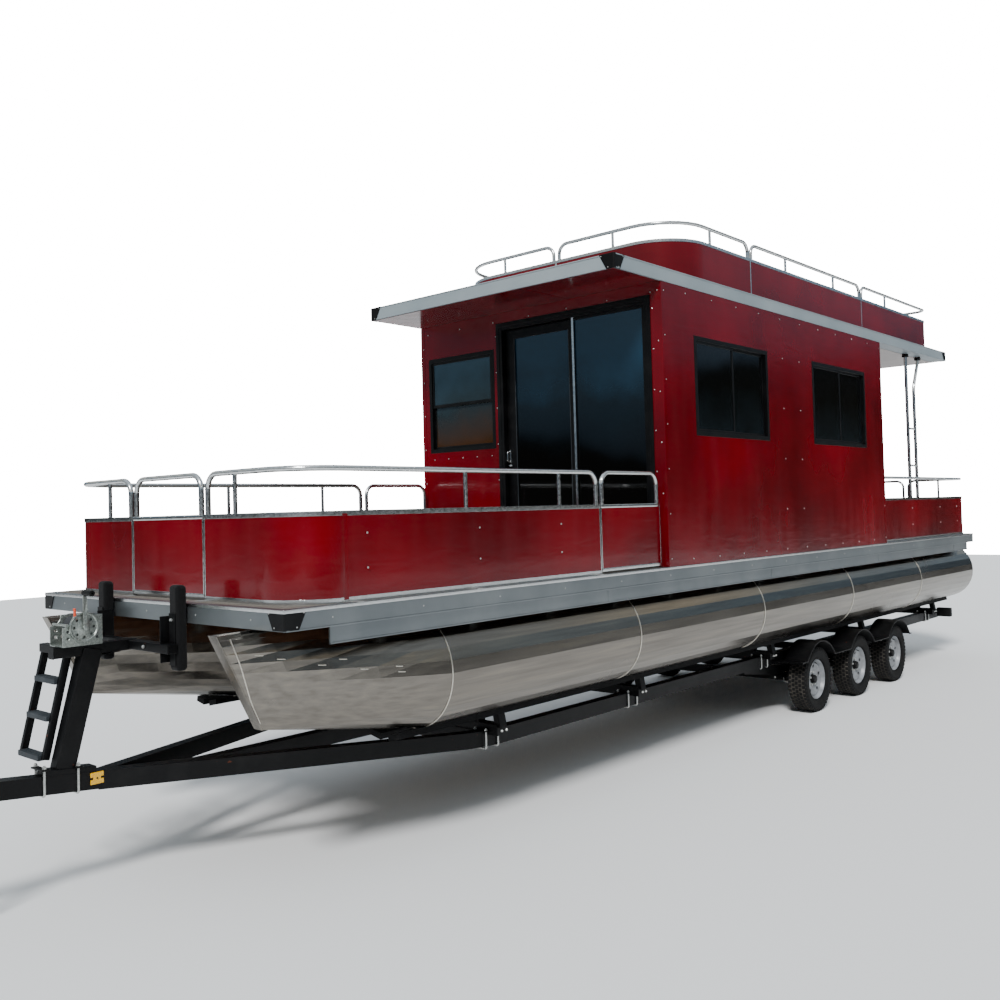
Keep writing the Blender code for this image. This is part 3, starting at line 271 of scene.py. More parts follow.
def makeSoffit():
    # the same coil-coated sheet, painted a pale pinkish grey: painted light where the stern deck shines up at it
    material, tree, shader, place = startFinish("coil-coated aluminium in painted bounce light", 0.4)
    cloud = addNode(tree, "ShaderNodeTexNoise", {"Scale": 2.5, "Detail": 4.0}, {"Vector": place})
    # painted light: pale pinkish tones for the light thrown up from the stern deck
    base = addRamp(tree, cloud.outputs["Fac"], ((0.35, "#A79C99"), (0.7, "#B9AFAA")))
    tree.links.new(base, shader.inputs["Base Color"])
    linkRoughness(tree, shader, cloud.outputs["Fac"], 0.3, 0.5)
    addBump(tree, shader, cloud.outputs["Fac"], 0.2, 0.002)
    return material


def makeBlackPaint(name, colour, roughness, rust=0.0, dusty="#141414"):
    # powder coat: fine orange peel, dulled a little by road dust, a few rusty chips
    material, tree, shader, place = startFinish(name, roughness)
    shader.inputs["Specular IOR Level"].default_value = 0.22
    peel = addNode(tree, "ShaderNodeTexNoise", {"Scale": 420.0, "Detail": 2.0}, {"Vector": place})
    dust = addNode(tree, "ShaderNodeTexNoise", {"Scale": 7.0, "Detail": 6.0}, {"Vector": place})
    base = addRamp(tree, dust.outputs["Fac"], ((0.5, colour), (0.85, dusty)))
    chip = addNode(tree, "ShaderNodeTexNoise", {"Scale": 31.0, "Detail": 8.0}, {"Vector": place})
    spots = addRamp(tree, chip.outputs["Fac"], ((0.74 - rust, "#000000"), (0.78 - rust, "#FFFFFF")))
    mix = addNode(tree, "ShaderNodeMix", {"data_type": "RGBA"}, {"Factor": spots})
    tree.links.new(base, mix.inputs[6])
    mix.inputs[7].default_value = toLinear("#4A2413" if rust else dusty)
    tree.links.new(mix.outputs[2], shader.inputs["Base Color"])
    linkRoughness(tree, shader, dust.outputs["Fac"], roughness - 0.1, roughness + 0.15)
    addBump(tree, shader, peel.outputs["Fac"], 0.12, 0.0008)
    return material


def makeGalvanised(name, dark, light, scale):
    # hot-dip or zinc plate: crystal spangle in greys
    material, tree, shader, place = startFinish(name, 0.4, 0.85)
    spangle = addNode(tree, "ShaderNodeTexVoronoi", {"Scale": scale, "Randomness": 1.0}, {"Vector": place})
    split = addNode(tree, "ShaderNodeSeparateColor", {}, {"Color": spangle.outputs["Color"]})
    base = addRamp(tree, split.outputs["Red"], ((0.0, dark), (1.0, light)))
    tree.links.new(base, shader.inputs["Base Color"])
    linkRoughness(tree, shader, split.outputs["Green"], 0.28, 0.5)
    addBump(tree, shader, split.outputs["Red"], 0.05, 0.0005)
    return material


def makeRubber():
    # moulded tyre rubber: dark, dull, brown dust in the low places
    material, tree, shader, place = startFinish("moulded black tyre rubber", 0.8)
    shader.inputs["Specular IOR Level"].default_value = 0.25
    dust = addNode(tree, "ShaderNodeTexNoise", {"Scale": 14.0, "Detail": 6.0}, {"Vector": place})
    base = addRamp(tree, dust.outputs["Fac"], ((0.4, "#060607"), (0.8, "#171513")))
    tree.links.new(base, shader.inputs["Base Color"])
    linkRoughness(tree, shader, dust.outputs["Fac"], 0.66, 0.92)
    grit = addNode(tree, "ShaderNodeTexNoise", {"Scale": 300.0, "Detail": 2.0}, {"Vector": place})
    addBump(tree, shader, grit.outputs["Fac"], 0.2, 0.001)
    return material


def makeWhitePaint():
    # baked white enamel on pressed steel: soft gloss, coloured in mottled mid greys, partly grey brake dust and partly
    # painted shade over the whole wheel
    material, tree, shader, place = startFinish("white enamelled steel", 0.32)
    dust = addNode(tree, "ShaderNodeTexNoise", {"Scale": 9.0, "Detail": 6.0}, {"Vector": place})
    # painted shade with brake dust: mid greys in place of the enamel's white
    base = addRamp(tree, dust.outputs["Fac"], ((0.35, "#96999D"), (0.7, "#6C6D6F")))
    tree.links.new(base, shader.inputs["Base Color"])
    linkRoughness(tree, shader, dust.outputs["Fac"], 0.25, 0.5)
    addBump(tree, shader, dust.outputs["Fac"], 0.1, 0.001)
    return material


def makeCarpet():
    # ribbed polypropylene bunk carpet: black, no shine, a short pile
    material, tree, shader, place = startFinish("black polypropylene bunk carpet", 0.95)
    pile = addNode(tree, "ShaderNodeTexNoise", {"Scale": 260.0, "Detail": 4.0}, {"Vector": place})
    base = addRamp(tree, pile.outputs["Fac"], ((0.35, "#040405"), (0.7, "#111112")))
    tree.links.new(base, shader.inputs["Base Color"])
    shader.inputs["Sheen Weight"].default_value = 0.06
    shader.inputs["Specular IOR Level"].default_value = 0.2
    addBump(tree, shader, pile.outputs["Fac"], 0.7, 0.003)
    return material


def makeDeckBoard():
    # glued marine vinyl: grey-brown, close woven pattern at 8 mm
    material, tree, shader, place = startFinish("woven marine vinyl decking", 0.8)
    weave = addNode(tree, "ShaderNodeTexBrick", {"Scale": 125.0, "Mortar Size": 0.04}, {"Vector": place})
    weave.inputs["Color1"].default_value = toLinear("#8C857A")
    weave.inputs["Color2"].default_value = toLinear("#79736A")
    weave.inputs["Mortar"].default_value = toLinear("#4E4A45")
    tree.links.new(weave.outputs["Color"], shader.inputs["Base Color"])
    addBump(tree, shader, weave.outputs["Fac"], 0.4, 0.001)
    return material


def makeGlass(name, low, middle, high, heights):
    # tinted safety glass: nearly black with a painted reflection in its colour, bluer towards the top as a painted sky,
    # a hard clear reflection from its low roughness
    material, tree, shader, place = startFinish(name, 0.04)
    split = addNode(tree, "ShaderNodeSeparateXYZ", {}, {"Vector": place})
    ripple = addNode(tree, "ShaderNodeTexNoise", {"Scale": 2.6, "Detail": 5.0}, {"Vector": place})
    shift = addNode(tree, "ShaderNodeMath", {"operation": "MULTIPLY_ADD"}, {})
    tree.links.new(ripple.outputs["Fac"], shift.inputs[0])
    shift.inputs[1].default_value = 0.5
    tree.links.new(split.outputs["Z"], shift.inputs[2])
    height = addNode(tree, "ShaderNodeMapRange", {"From Min": deckTop + heights[0] + 0.25, "From Max": deckTop + heights[1] + 0.25}, {"Value": shift.outputs["Value"]})
    # painted reflection: ground, tree line and sky colours laid over height, the edge made ragged by noise
    base = addRamp(tree, height.outputs["Result"], ((0.0, low), (0.5, middle), (1.0, high)))
    tree.links.new(base, shader.inputs["Base Color"])
    addBump(tree, shader, ripple.outputs["Fac"], 0.02, 0.0006)
    return material


def makeReflector(name, dark, light):
    # moulded reflector lens: clear colour over small prisms
    material, tree, shader, place = startFinish(name, 0.2)
    prism = addNode(tree, "ShaderNodeTexVoronoi", {"Scale": 240.0}, {"Vector": place})
    base = addRamp(tree, prism.outputs["Distance"], ((0.1, light), (0.7, dark)))
    tree.links.new(base, shader.inputs["Base Color"])
    shader.inputs["Coat Weight"].default_value = 0.3
    addBump(tree, shader, prism.outputs["Distance"], 0.3, 0.0008)
    return material


def makeWeld():
    # rippled aluminium weld bead: bright, a fine scale every 3 mm
    material, tree, shader, place = startFinish("bright aluminium weld bead", 0.3, 1.0)
    scale = addNode(tree, "ShaderNodeTexNoise", {"Scale": 330.0, "Detail": 2.0}, {"Vector": place})
    base = addRamp(tree, scale.outputs["Fac"], ((0.35, "#B4AFA4"), (0.65, "#EDE8DC")))
    tree.links.new(base, shader.inputs["Base Color"])
    linkRoughness(tree, shader, scale.outputs["Fac"], 0.22, 0.42)
    addBump(tree, shader, scale.outputs["Fac"], 0.5, 0.001)
    return material


def makePlywood():
    # treated plywood: red-brown, grain along the boat, no varnish
    material, tree, shader, place = startFinish("treated marine plywood", 0.7)
    drawn = addNode(tree, "ShaderNodeMapping", {"Scale": (1.0, 0.06, 1.0)}, {"Vector": place})
    grain = addNode(tree, "ShaderNodeTexNoise", {"Scale": 34.0, "Detail": 7.0}, {"Vector": drawn.outputs["Vector"]})
    base = addRamp(tree, grain.outputs["Fac"], ((0.35, "#4A2B1A"), (0.5, "#6B4228"), (0.7, "#8A5C3A")))
    tree.links.new(base, shader.inputs["Base Color"])
    linkRoughness(tree, shader, grain.outputs["Fac"], 0.55, 0.8)
    addBump(tree, shader, grain.outputs["Fac"], 0.3, 0.001)
    return material


def makeWebbing():
    # woven polyester strap: grey-black, ribs across the width at 2 mm
    material, tree, shader, place = startFinish("woven polyester winch strap", 0.8)
    rib = addNode(tree, "ShaderNodeTexWave", {"Scale": 160.0, "Distortion": 1.0}, {"Vector": place})
    base = addRamp(tree, rib.outputs["Fac"], ((0.2, "#1C1D1F"), (0.8, "#3A3C40")))
    tree.links.new(base, shader.inputs["Base Color"])
    addBump(tree, shader, rib.outputs["Fac"], 0.5, 0.001)
    return material


# finish and the slot that it belongs to
finishes = {
    "red": (makeRedPanel(), "red_panel"),
    "mill": (makeMillAluminium(), "pontoon_aluminium"),
    "rail": (makeRailAluminium(), "rail_aluminium"),
    "trim": (makeTrimAluminium(), "trim_aluminium"),
    "roof": (makeRoofPanel(), "roof_panel"),
    "soffit": (makeSoffit(), "roof_panel"),
    "deck": (makeDeckBoard(), "deck_board"),
    "frame": (makeBlackPaint("black powder-coated aluminium", "#030304", 0.38), "black_frame"),
    "steel": (makeBlackPaint("black powder-coated steel", "#030304", 0.45, 0.03), "black_steel"),
    "plastic": (makeBlackPaint("black moulded nylon", "#040404", 0.55), "black_frame"),
    "step": (makeBlackPaint("worn grey painted steel", "#2C3135", 0.55, 0.04, "#454A4E"), "black_steel"),
    "grit": (makeBlackPaint("road dust pressed into rubber", "#3A3733", 0.9, 0.0, "#6A655D"), "rubber"),
    "zinc": (makeGalvanised("galvanised steel", "#8A918C", "#B4BAB4", 160.0), "galvanised_steel"),
    "bolt": (makeGalvanised("zinc-plated steel", "#A9ABA8", "#CFCFCB", 400.0), "galvanised_steel"),
    "rubber": (makeRubber(), "rubber"),
    "white": (makeWhitePaint(), "white_steel"),
    "carpet": (makeCarpet(), "bunk_carpet"),
    # the three glasses differ only in their painted reflections
    "glass": (makeGlass("dark tinted safety glass", "#050505", "#0A1217", "#173142", (0.9, 1.7)), "black_frame"),
    "sideGlass": (makeGlass("black tinted safety glass", "#121A1E", "#070808", "#0A0B0D", (1.0, 1.8)), "black_frame"),
    "frontGlass": (makeGlass("bronze tinted safety glass", "#3A2411", "#1C2526", "#2C4451", (1.05, 1.75)), "black_frame"),
    "weld": (makeWeld(), "pontoon_aluminium"),
    "plywood": (makePlywood(), "deck_board"),
    "webbing": (makeWebbing(), "bunk_carpet"),
    "amber": (makeReflector("amber reflector lens", "#E0A000", "#FFD21F"), "black_steel"),
    "lampRed": (makeReflector("red lamp lens", "#7A0606", "#B01010"), "black_steel"),
    "orange": (makeReflector("orange moulded plastic", "#D03A10", "#F25A22"), "black_steel"),
}
print("finishes done")


# modelling helpers


def at(x, aft, up):
    # distances aft of the bow edge and above the deck, to the frame's place
    return Vector((x, bowEdge + aft, deckTop + up))


def deselect():
    bpy.ops.object.select_all(action="DESELECT")


def takeName(name):
    piece = bpy.context.object
    piece.name = name
    piece.data.name = name
    return piece


def pick(piece, test, vertices=False):
    # into edit mode with the faces, or the vertices, that pass the test selected
    mesh = piece.data
    for group in (mesh.vertices, mesh.edges, mesh.polygons):
        for item in group:
            item.select = False
    if vertices:
        for vertex in mesh.vertices:
            vertex.select = test(vertex.co)
    else:
        for face in mesh.polygons:
            face.select = test(face.center, face.normal)
    bpy.context.view_layer.objects.active = piece
    bpy.ops.object.mode_set(mode="EDIT")
    bpy.ops.mesh.select_mode(type="VERT" if vertices else "FACE")


def editAll(piece):
    pick(piece, lambda spot: True, vertices=True)
    bpy.ops.mesh.select_all(action="SELECT")


def leave():
    bpy.ops.object.mode_set(mode="OBJECT")


def applyModifier(piece, kind, **settings):
    bpy.context.view_layer.objects.active = piece
    modifier = piece.modifiers.new(kind.lower(), kind)
    for name, value in settings.items():
        setattr(modifier, name, value)
    bpy.ops.object.modifier_apply(modifier=modifier.name)


def soften(piece, width, segments=2):
    applyModifier(piece, "BEVEL", width=width, segments=segments, limit_method="ANGLE", angle_limit=math.radians(40))


def addBox(name, low, high, edge=0.0):
    deselect()
    first, second = at(*low), at(*high)
    bpy.ops.mesh.primitive_cube_add(size=1, location=(first + second) / 2)
    piece = takeName(name)
    piece.scale = [abs(c) for c in second - first]
    bpy.ops.object.transform_apply()
    if edge:
        soften(piece, edge)
    return piece


def addWire(name, points, bends=(), steps=6):
    # a line through the points, each inner corner rounded back by its bend
    deselect()
    bpy.ops.mesh.primitive_plane_add(size=0.001, location=points[0])
    piece = takeName(name)
    bpy.ops.object.transform_apply()
    bpy.ops.object.mode_set(mode="EDIT")
    bpy.ops.mesh.select_mode(type="VERT")
    bpy.ops.mesh.merge(type="CENTER")
    for start, end in zip(points, points[1:]):
        bpy.ops.mesh.extrude_region_move(TRANSFORM_OT_translate={"value": end - start})
    leave()
    for corner, bend in zip(points[1:-1], bends):
        if bend:
            pick(piece, lambda spot: (spot - corner).length < 0.001, vertices=True)
            bpy.ops.mesh.bevel(offset=bend, segments=steps, affect="VERTICES")
            leave()
    return piece


def addTube(name, points, radius, bends=(), rounds=4, steps=6):
    piece = addWire(name, points, bends, steps)
    deselect()
    piece.select_set(True)
    bpy.ops.object.convert(target="CURVE")
    curve = bpy.context.object.data
    curve.bevel_depth = radius
    curve.bevel_resolution = rounds
    curve.use_fill_caps = True
    bpy.ops.object.convert(target="MESH")
    return takeName(name)


def addStrip(name, points, push, thick, bends=(), steps=6, edge=0.0):
    # a flat bar: a line pushed out sideways, then thickened
    piece = addWire(name, points, bends, steps)
    editAll(piece)
    bpy.ops.mesh.extrude_region_move(TRANSFORM_OT_translate={"value": push})
    leave()
    applyModifier(piece, "SOLIDIFY", thickness=thick, offset=0.0)
    if edge:
        soften(piece, edge)
    return piece


def addSheet(name, points, tall, thick, bends=(), steps=10, edge=0.0):
    # an upright strip on a line in plan
    return addStrip(name, points, (0, 0, tall), thick, bends, steps, edge)


def addSpun(name, centre, profile, steps, axis=(1, 0, 0)):
    # a profile of radius and distance along the axis, spun round it
    axis = Vector(axis)
    spoke = Vector((0, 0, 1)) if abs(axis.z) < 0.5 else Vector((1, 0, 0))
    piece = addWire(name, [centre + axis * along + spoke * radius for radius, along in profile])
    editAll(piece)
    bpy.ops.mesh.spin(steps=steps, angle=math.tau, center=centre, axis=axis)
    bpy.ops.mesh.select_all(action="SELECT")
    bpy.ops.mesh.remove_doubles(threshold=0.0001)
    bpy.ops.mesh.normals_make_consistent(inside=False)
    leave()
    return piece


def addFrame(name, low, high, bar, axis, edge=0.0):
    # a rectangular frame with its hole along one axis
    piece = addBox(name, low, high)
    pick(piece, lambda centre, normal: abs(normal[axis]) > 0.9)
    bpy.ops.mesh.inset(thickness=bar)
    bpy.ops.mesh.bridge_edge_loops()
    leave()
    if edge:
        soften(piece, edge)
    return piece


def addDisc(name, place, radius, thick, axis, count=16, dome=0.0):
    # a short round or hexagonal bar along an axis, its outer face drawn in to a dome
    deselect()
    bpy.ops.mesh.primitive_cylinder_add(vertices=count, radius=radius, depth=thick, location=place)
    piece = takeName(name)
    axis = Vector(axis).normalized()
    piece.rotation_euler = Vector((0, 0, 1)).rotation_difference(axis).to_euler()
    bpy.ops.object.transform_apply()
    if dome:
        pick(piece, lambda centre, normal: normal.dot(axis) > 0.9)
        bpy.ops.mesh.inset(thickness=radius * 0.35, depth=dome)
        leave()
    return piece


def repeatShape(piece, start, places):
    # the same shape again at each further place, in one mesh
    editAll(piece)
    spot = start
    for place in places:
        bpy.ops.mesh.duplicate_move(TRANSFORM_OT_translate={"value": place - spot})
        spot = place
    leave()
    return piece


def addStuds(name, places, radius, tall, axis, count=8):
    # a row of rivet or bolt heads that face the same way
    piece = addDisc(name, places[0], radius, tall, axis, count, tall * 0.6)
    return repeatShape(piece, places[0], places[1:])


def joined(name, parts):
    deselect()
    for part in parts:
        part.select_set(True)
    bpy.context.view_layer.objects.active = parts[0]
    bpy.ops.object.join()
    return takeName(name)


def copyPiece(piece, name, shift=(0, 0, 0), mirror=False):
    deselect()
    piece.select_set(True)
    bpy.context.view_layer.objects.active = piece
    bpy.ops.object.duplicate()
    copy = takeName(name)
    copy.location = shift
    if mirror:
        copy.scale.x = -1
    bpy.ops.object.transform_apply()
    if mirror:
        editAll(copy)
        bpy.ops.mesh.normals_make_consistent(inside=False)
        leave()
    return copy


def finishPiece(piece, finish, body="root", stands=(), angle=35):
    material, slot = finishes[finish]
    piece.data.materials.clear()
    piece.data.materials.append(material)
    deselect()
    piece.select_set(True)
    bpy.context.view_layer.objects.active = piece
    bpy.ops.object.shade_smooth_by_angle(angle=math.radians(angle))
    applyModifier(piece, "WEIGHTED_NORMAL", keep_sharp=True)
    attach(piece, body)
    if stands:
        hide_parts(*stands)
    return piece


def bothSides(piece, finish, stands=()):
    # the port piece and its mirror image; its name starts with port
    other = copyPiece(piece, piece.name.replace("port", "starboard", 1), mirror=True)
    finishPiece(piece, finish, "root", stands)
    swapped = [name.replace("port", "starboard", 1) for name in stands]
    finishPiece(other, finish, "root", swapped)


# every node of the frame gets its finish first
nodeFinish = {
    "trailer_frame": "steel",
    "axle_": "steel",
    "fender_": "steel",
    "winch_stand": "steel",
    "bow_stop_": "plastic",
    "tongue_jack": "steel",
    "winch": "zinc",
    "tyre_": "rubber",
    "wheel_": "white",
    "bunk_": "carpet",
    "pontoon_": "mill",
    "deck_rim": "trim",
    "deck_frame": "trim",
    "deck": "deck",
    "roof": "roof",
    "roof_post_": "rail",
    "roof_ladder": "rail",
    "front_window": "frame",
    "patio_door_": "frame",
}


def dressNodes():
    for name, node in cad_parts.items():
        best = max((key for key in nodeFinish if name.startswith(key)), key=len, default=None)
        finish = nodeFinish[best] if best else "red"
        if "window" in name:
            finish = "frame"
        for slot in node.material_slots:
            slot.material = finishes[finish][0]


dressNodes()
print("nodes dressed")


# fences and gates
fence = {
    "x": 1.236,
    "bow": 0.144,
    "stern": 10.60,
    "panelThick": 0.020,
    "frameThick": 0.028,
    "channelTall": 0.026,
    "endWide": 0.010,
    "panelTop": 0.478,
    "railTop": 0.716,
    "railRadius": 0.016,
    "postRadius": 0.0125,
    "railBend": 0.085,
    "railIn": 0.030,
    "gateLift": 0.012,
    "gateClear": 0.003,
    "bowGateHalf": 0.39,
    "sternGateHalf": 0.52,
    "sideGate": (2.69, 3.445),
    "cabinAft": 7.796,
    "bowCorner": 0.30,
    "sternCorner": 0.12,
    "hingeUps": (0.10, 0.38),
    "hingeLong": 0.040,
    "hingeRadius": 0.009,
    "pinIn": 0.024,
}

upperFence = {
    "x": 1.190,
    "fore": 3.880,
    "aft": 9.600,
    "base": 2.256,
    "panelTop": 0.354,
    "railTop": 0.499,
    "corner": 0.42,
    "aftCorner": 0.12,
    "returnX": -0.64,
    "seams": (5.10, 7.57),
    "frontPost": 0.593,
    "sidePosts": (4.42, 5.81, 6.88, 8.27),
    "aftPosts": (0.60, -0.05),
}


def shortened(plan, by):
    # the line with both ends drawn in
    first, second = Vector(plan[0]), Vector(plan[1])
    last, before = Vector(plan[-1]), Vector(plan[-2])
    start = first + (second - first).normalized() * by
    end = last + (before - last).normalized() * by
    return [start, *[Vector(spot) for spot in plan[1:-1]], end]


def addRail(name, plan, bends, low, top):
    # a tube over a stretch of fence, bent down into the cap at both ends
    line = shortened(plan, fence["railIn"])
    height = top - fence["railRadius"]
    points = [at(*line[0], low)] + [at(*spot, height) for spot in line] + [at(*line[-1], low)]
    return addTube(name, points, fence["railRadius"], (fence["railBend"], *bends, fence["railBend"]), 4, 8)


def addFence(name, plan, bends, up, panelTop, railTop, posts, body, stands, rails=None):
    cap = up + panelTop - fence["channelTall"]
    low = up + fence["channelTall"] / 2
    line = [at(*spot, low) for spot in plan]
    panel = addSheet(name + "_panel", line, cap - low + 0.01, fence["panelThick"], bends)
    line = [at(*spot, up + 0.0003) for spot in plan]
    metal = [addSheet("channel", line, fence["channelTall"], fence["frameThick"], bends, edge=0.003)]
    line = [at(*spot, cap) for spot in plan]
    metal.append(addSheet("cap", line, fence["channelTall"], fence["frameThick"], bends, edge=0.006))
    ends = shortened(plan, fence["endWide"])
    for outer, inner in ((plan[0], ends[0]), (plan[-1], ends[-1])):
        strip = [at(*outer, up + 0.004), at(*inner, up + 0.004)]
        metal.append(addSheet("end", strip, panelTop - 0.008, fence["frameThick"] - 0.002, edge=0.002))
    for stretch, corners in rails or [(plan, bends)]:
        metal.append(addRail("rail", stretch, corners, cap + 0.010, up + railTop))
    for x, aft in posts:
        ends = [at(x, aft, cap + 0.010), at(x, aft, up + railTop - fence["railRadius"])]
        metal.append(addTube("post", ends, fence["postRadius"]))
    finishPiece(panel, "red", body, stands)
    finishPiece(joined(name + "_metal", metal), "rail", body)


def addSideFences():
    x, clear = fence["x"], fence["gateClear"]
    gateFore, gateAft = fence["sideGate"]
    for label, side in sides.items():
        plan = [(side * (fence["bowGateHalf"] + clear), fence["bow"]), (side * x, fence["bow"]), (side * x, gateFore - clear)]
        posts = [(side * 0.686, fence["bow"]), (side * x, 1.360), (side * x, 2.250)]
        addFence(f"bowFence_{label}", plan, (fence["bowCorner"],), 0, fence["panelTop"], fence["railTop"], posts, "root", [f"bow_fence_{label}"])
        plan = [(side * x, gateFore + clear), (side * x, gateAft)]
        lift = fence["gateLift"]
        addFence(f"sideGate_{label}", plan, (), lift, fence["panelTop"] - lift, fence["railTop"] - lift, (), f"{label}_gate_body", [f"{label}_gate"])
        plan = [(side * x, fence["cabinAft"] + 0.0003), (side * x, fence["stern"]), (side * (fence["sternGateHalf"] + clear), fence["stern"])]
        posts = [(side * x, 8.726), (side * x, 9.666)]
        addFence(f"sternFence_{label}", plan, (fence["sternCorner"],), 0, fence["panelTop"], fence["railTop"], posts, "root", [f"stern_fence_{label}"])
    for place, half in (("bow", fence["bowGateHalf"]), ("stern", fence["sternGateHalf"])):
        plan = [(half - clear, fence[place]), (clear - half, fence[place])]
        addFence(f"{place}Gate", plan, (), lift, fence["panelTop"] - lift, fence["railTop"] - lift, (), f"{place}_gate_body", [f"{place}_gate"])


def addUpperFences():
    u = upperFence
    for label, side in sides.items():
        x = side * u["x"]
        plan = [(0, u["fore"]), (x, u["fore"]), (x, u["aft"])]
        bends = [u["corner"]]
        posts = [(side * u["frontPost"], u["fore"])] + [(x, aft) for aft in u["sidePosts"]]
        if side == 1:
            plan.append((u["returnX"], u["aft"]))
            bends.append(u["aftCorner"])
            posts += [(spot, u["aft"]) for spot in u["aftPosts"]]
        seam, second = u["seams"]
        rails = [
            ([plan[0], plan[1], (x, seam)], (u["corner"],)),
            ([(x, seam), (x, second)], ()),
            ([(x, second), *plan[2:]], bends[1:]),
        ]
        addFence(f"upperFence_{label}", plan, bends, u["base"], u["panelTop"], u["railTop"], posts, "root", [f"upper_fence_{label}"], rails)
        strips = []
        for aft in u["seams"]:
            low = (side * (u["x"] - 0.0135), aft - 0.007, u["base"] + 0.02)
            high = (side * (u["x"] + 0.0135), aft + 0.007, u["base"] + u["panelTop"] - 0.02)
            strips.append(addBox("seam", low, high, 0.003))
        finishPiece(joined(f"upperFenceSeams_{label}", strips), "rail")


def addHinges():
    # barrel pairs on each gate's pin, the lower half on the fence and the upper on the gate
    gateFore = fence["sideGate"][0]
    pinX = fence["x"] - fence["pinIn"]
    spots = [
        ("bow_gate_body", (fence["bowGateHalf"], fence["bow"] + fence["pinIn"]), (-1, 0), (0, -1)),
        ("stern_gate_body", (fence["sternGateHalf"], fence["stern"] - fence["pinIn"]), (-1, 0), (0, 1)),
        ("port_gate_body", (pinX, gateFore), (0, 1), (1, 0)),
        ("starboard_gate_body", (-pinX, gateFore), (0, 1), (-1, 0)),
    ]
    for body, pin, along, out in spots:
        for onGate in (True, False):
            parts = []
            for up in fence["hingeUps"]:
                low = up if onGate else up - fence["hingeLong"] - 0.0003
                high = low + fence["hingeLong"]
                parts.append(addTube("barrel", [at(*pin, low), at(*pin, high)], fence["hingeRadius"], rounds=5))
                step = 0.030 if onGate else -0.030
                end = (pin[0] + along[0] * step, pin[1] + along[1] * step)
                leaf = [at(*pin, low + 0.003), at(*end, low + 0.003)]
                parts.append(addSheet("leaf", leaf, fence["hingeLong"] - 0.006, 0.004))
                tip = (end[0] + out[0] * 0.012, end[1] + out[1] * 0.012)
                root = (end[0] - along[0] * step * 0.2, end[1] - along[1] * step * 0.2)
                web = [at(*root, low + 0.003), at(root[0] + out[0] * 0.012, root[1] + out[1] * 0.012, low + 0.003)]
                parts.append(addSheet("web", web, fence["hingeLong"] - 0.006, 0.010, edge=0.002))
            piece = joined(f"hinge_{body[:-5]}_{'gate' if onGate else 'fence'}", parts)
            finishPiece(piece, "bolt", body if onGate else "root")


addSideFences()
addUpperFences()
addHinges()
print("fences done")


# cabin walls, windows and doors
cabin = {
    "half": 1.295,
    "fore": 3.476,
    "aft": 7.796,
    "top": 2.148,
    "gap": 0.0003,
}

window = {
    "fore": (3.93, 1.000, 5.17, 1.786),
    "aft": (6.07, 1.000, 7.34, 1.786),
    "front": (-1.20, 0.990, -0.40, 1.846),
    "flange": 0.018,
    "flangeBar": 0.030,
    "proud": 0.007,
    "bar": 0.034,
    "sashBar": 0.026,
    "sashDeep": 0.016,
    "meeting": 0.018,  # half of the middle bar
    "pane": 0.005,
    "depth": 0.045,
}

rivet = {
    "radius": 0.0055,
    "tall": 0.0025,
    "pitch": 0.36,
}


def grown(area, by):
    return (area[0] - by, area[1] - by, area[2] + by, area[3] + by)


def frameBox(name, wall, area, near, far, bar, edge):
    # a frame in a wall: wall is side or front, near and far are depths behind the wall's face
    if wall == "side":
        low = (cabin["half"] - far, area[0], area[1])
        high = (cabin["half"] - near, area[2], area[3])
        return addFrame(name, low, high, bar, 0, edge)
    low = (area[0], cabin["fore"] + near, area[1])
    high = (area[2], cabin["fore"] + far, area[3])
    return addFrame(name, low, high, bar, 1, edge)


def paneBox(name, wall, area, near, far):
    if wall == "side":
        return addBox(name, (cabin["half"] - far, area[0], area[1]), (cabin["half"] - near, area[2], area[3]), 0.001)
    return addBox(name, (area[0], cabin["fore"] + near, area[1]), (area[2], cabin["fore"] + far, area[3]), 0.001)


def addWindow(name, wall, area, glass, upright):
    # flange, frame and two sliding sashes; upright sashes stand side by side, others one above the other
    w = window
    parts = [
        frameBox("flange", wall, grown(area, w["flange"]), -w["proud"], -cabin["gap"], w["flangeBar"], 0.0025),
        frameBox("frame", wall, grown(area, -cabin["gap"]), -0.002, w["depth"], w["bar"], 0.002),
    ]
    inside = grown(area, -w["bar"] + 0.004)
    if upright:
        middle = (inside[0] + inside[2]) / 2
        outer = (inside[0], inside[1], middle + w["meeting"], inside[3])
        inner = (middle - w["meeting"], inside[1], inside[2], inside[3])
    else:
        middle = (inside[1] + inside[3]) / 2
        outer = (inside[0], middle - w["meeting"], inside[2], inside[3])
        inner = (inside[0], inside[1], inside[2], middle + w["meeting"])
    panes = []
    for sash, near in ((outer, 0.006), (inner, 0.025)):
        far = near + w["sashDeep"]
        parts.append(frameBox("sash", wall, sash, near, far, w["sashBar"], 0.0015))
        middle = (near + far) / 2
        panes.append(paneBox("pane", wall, grown(sash, -w["sashBar"] + 0.004), middle - w["pane"] / 2, middle + w["pane"] / 2))
    return joined(name + "Frame", parts), joined(name + "Glass", panes)


def addWindows():
    for place in ("fore", "aft"):
        frames, panes = addWindow(f"portWindow{place.title()}", "side", window[place], "sideGlass", True)
        bothSides(frames, "frame", [f"port_window_{place}"])
        bothSides(panes, "sideGlass")
    frames, panes = addWindow("frontWindow", "front", window["front"], "frontGlass", False)
    finishPiece(frames, "frame", "root", ["front_window"])
    finishPiece(panes, "frontGlass")


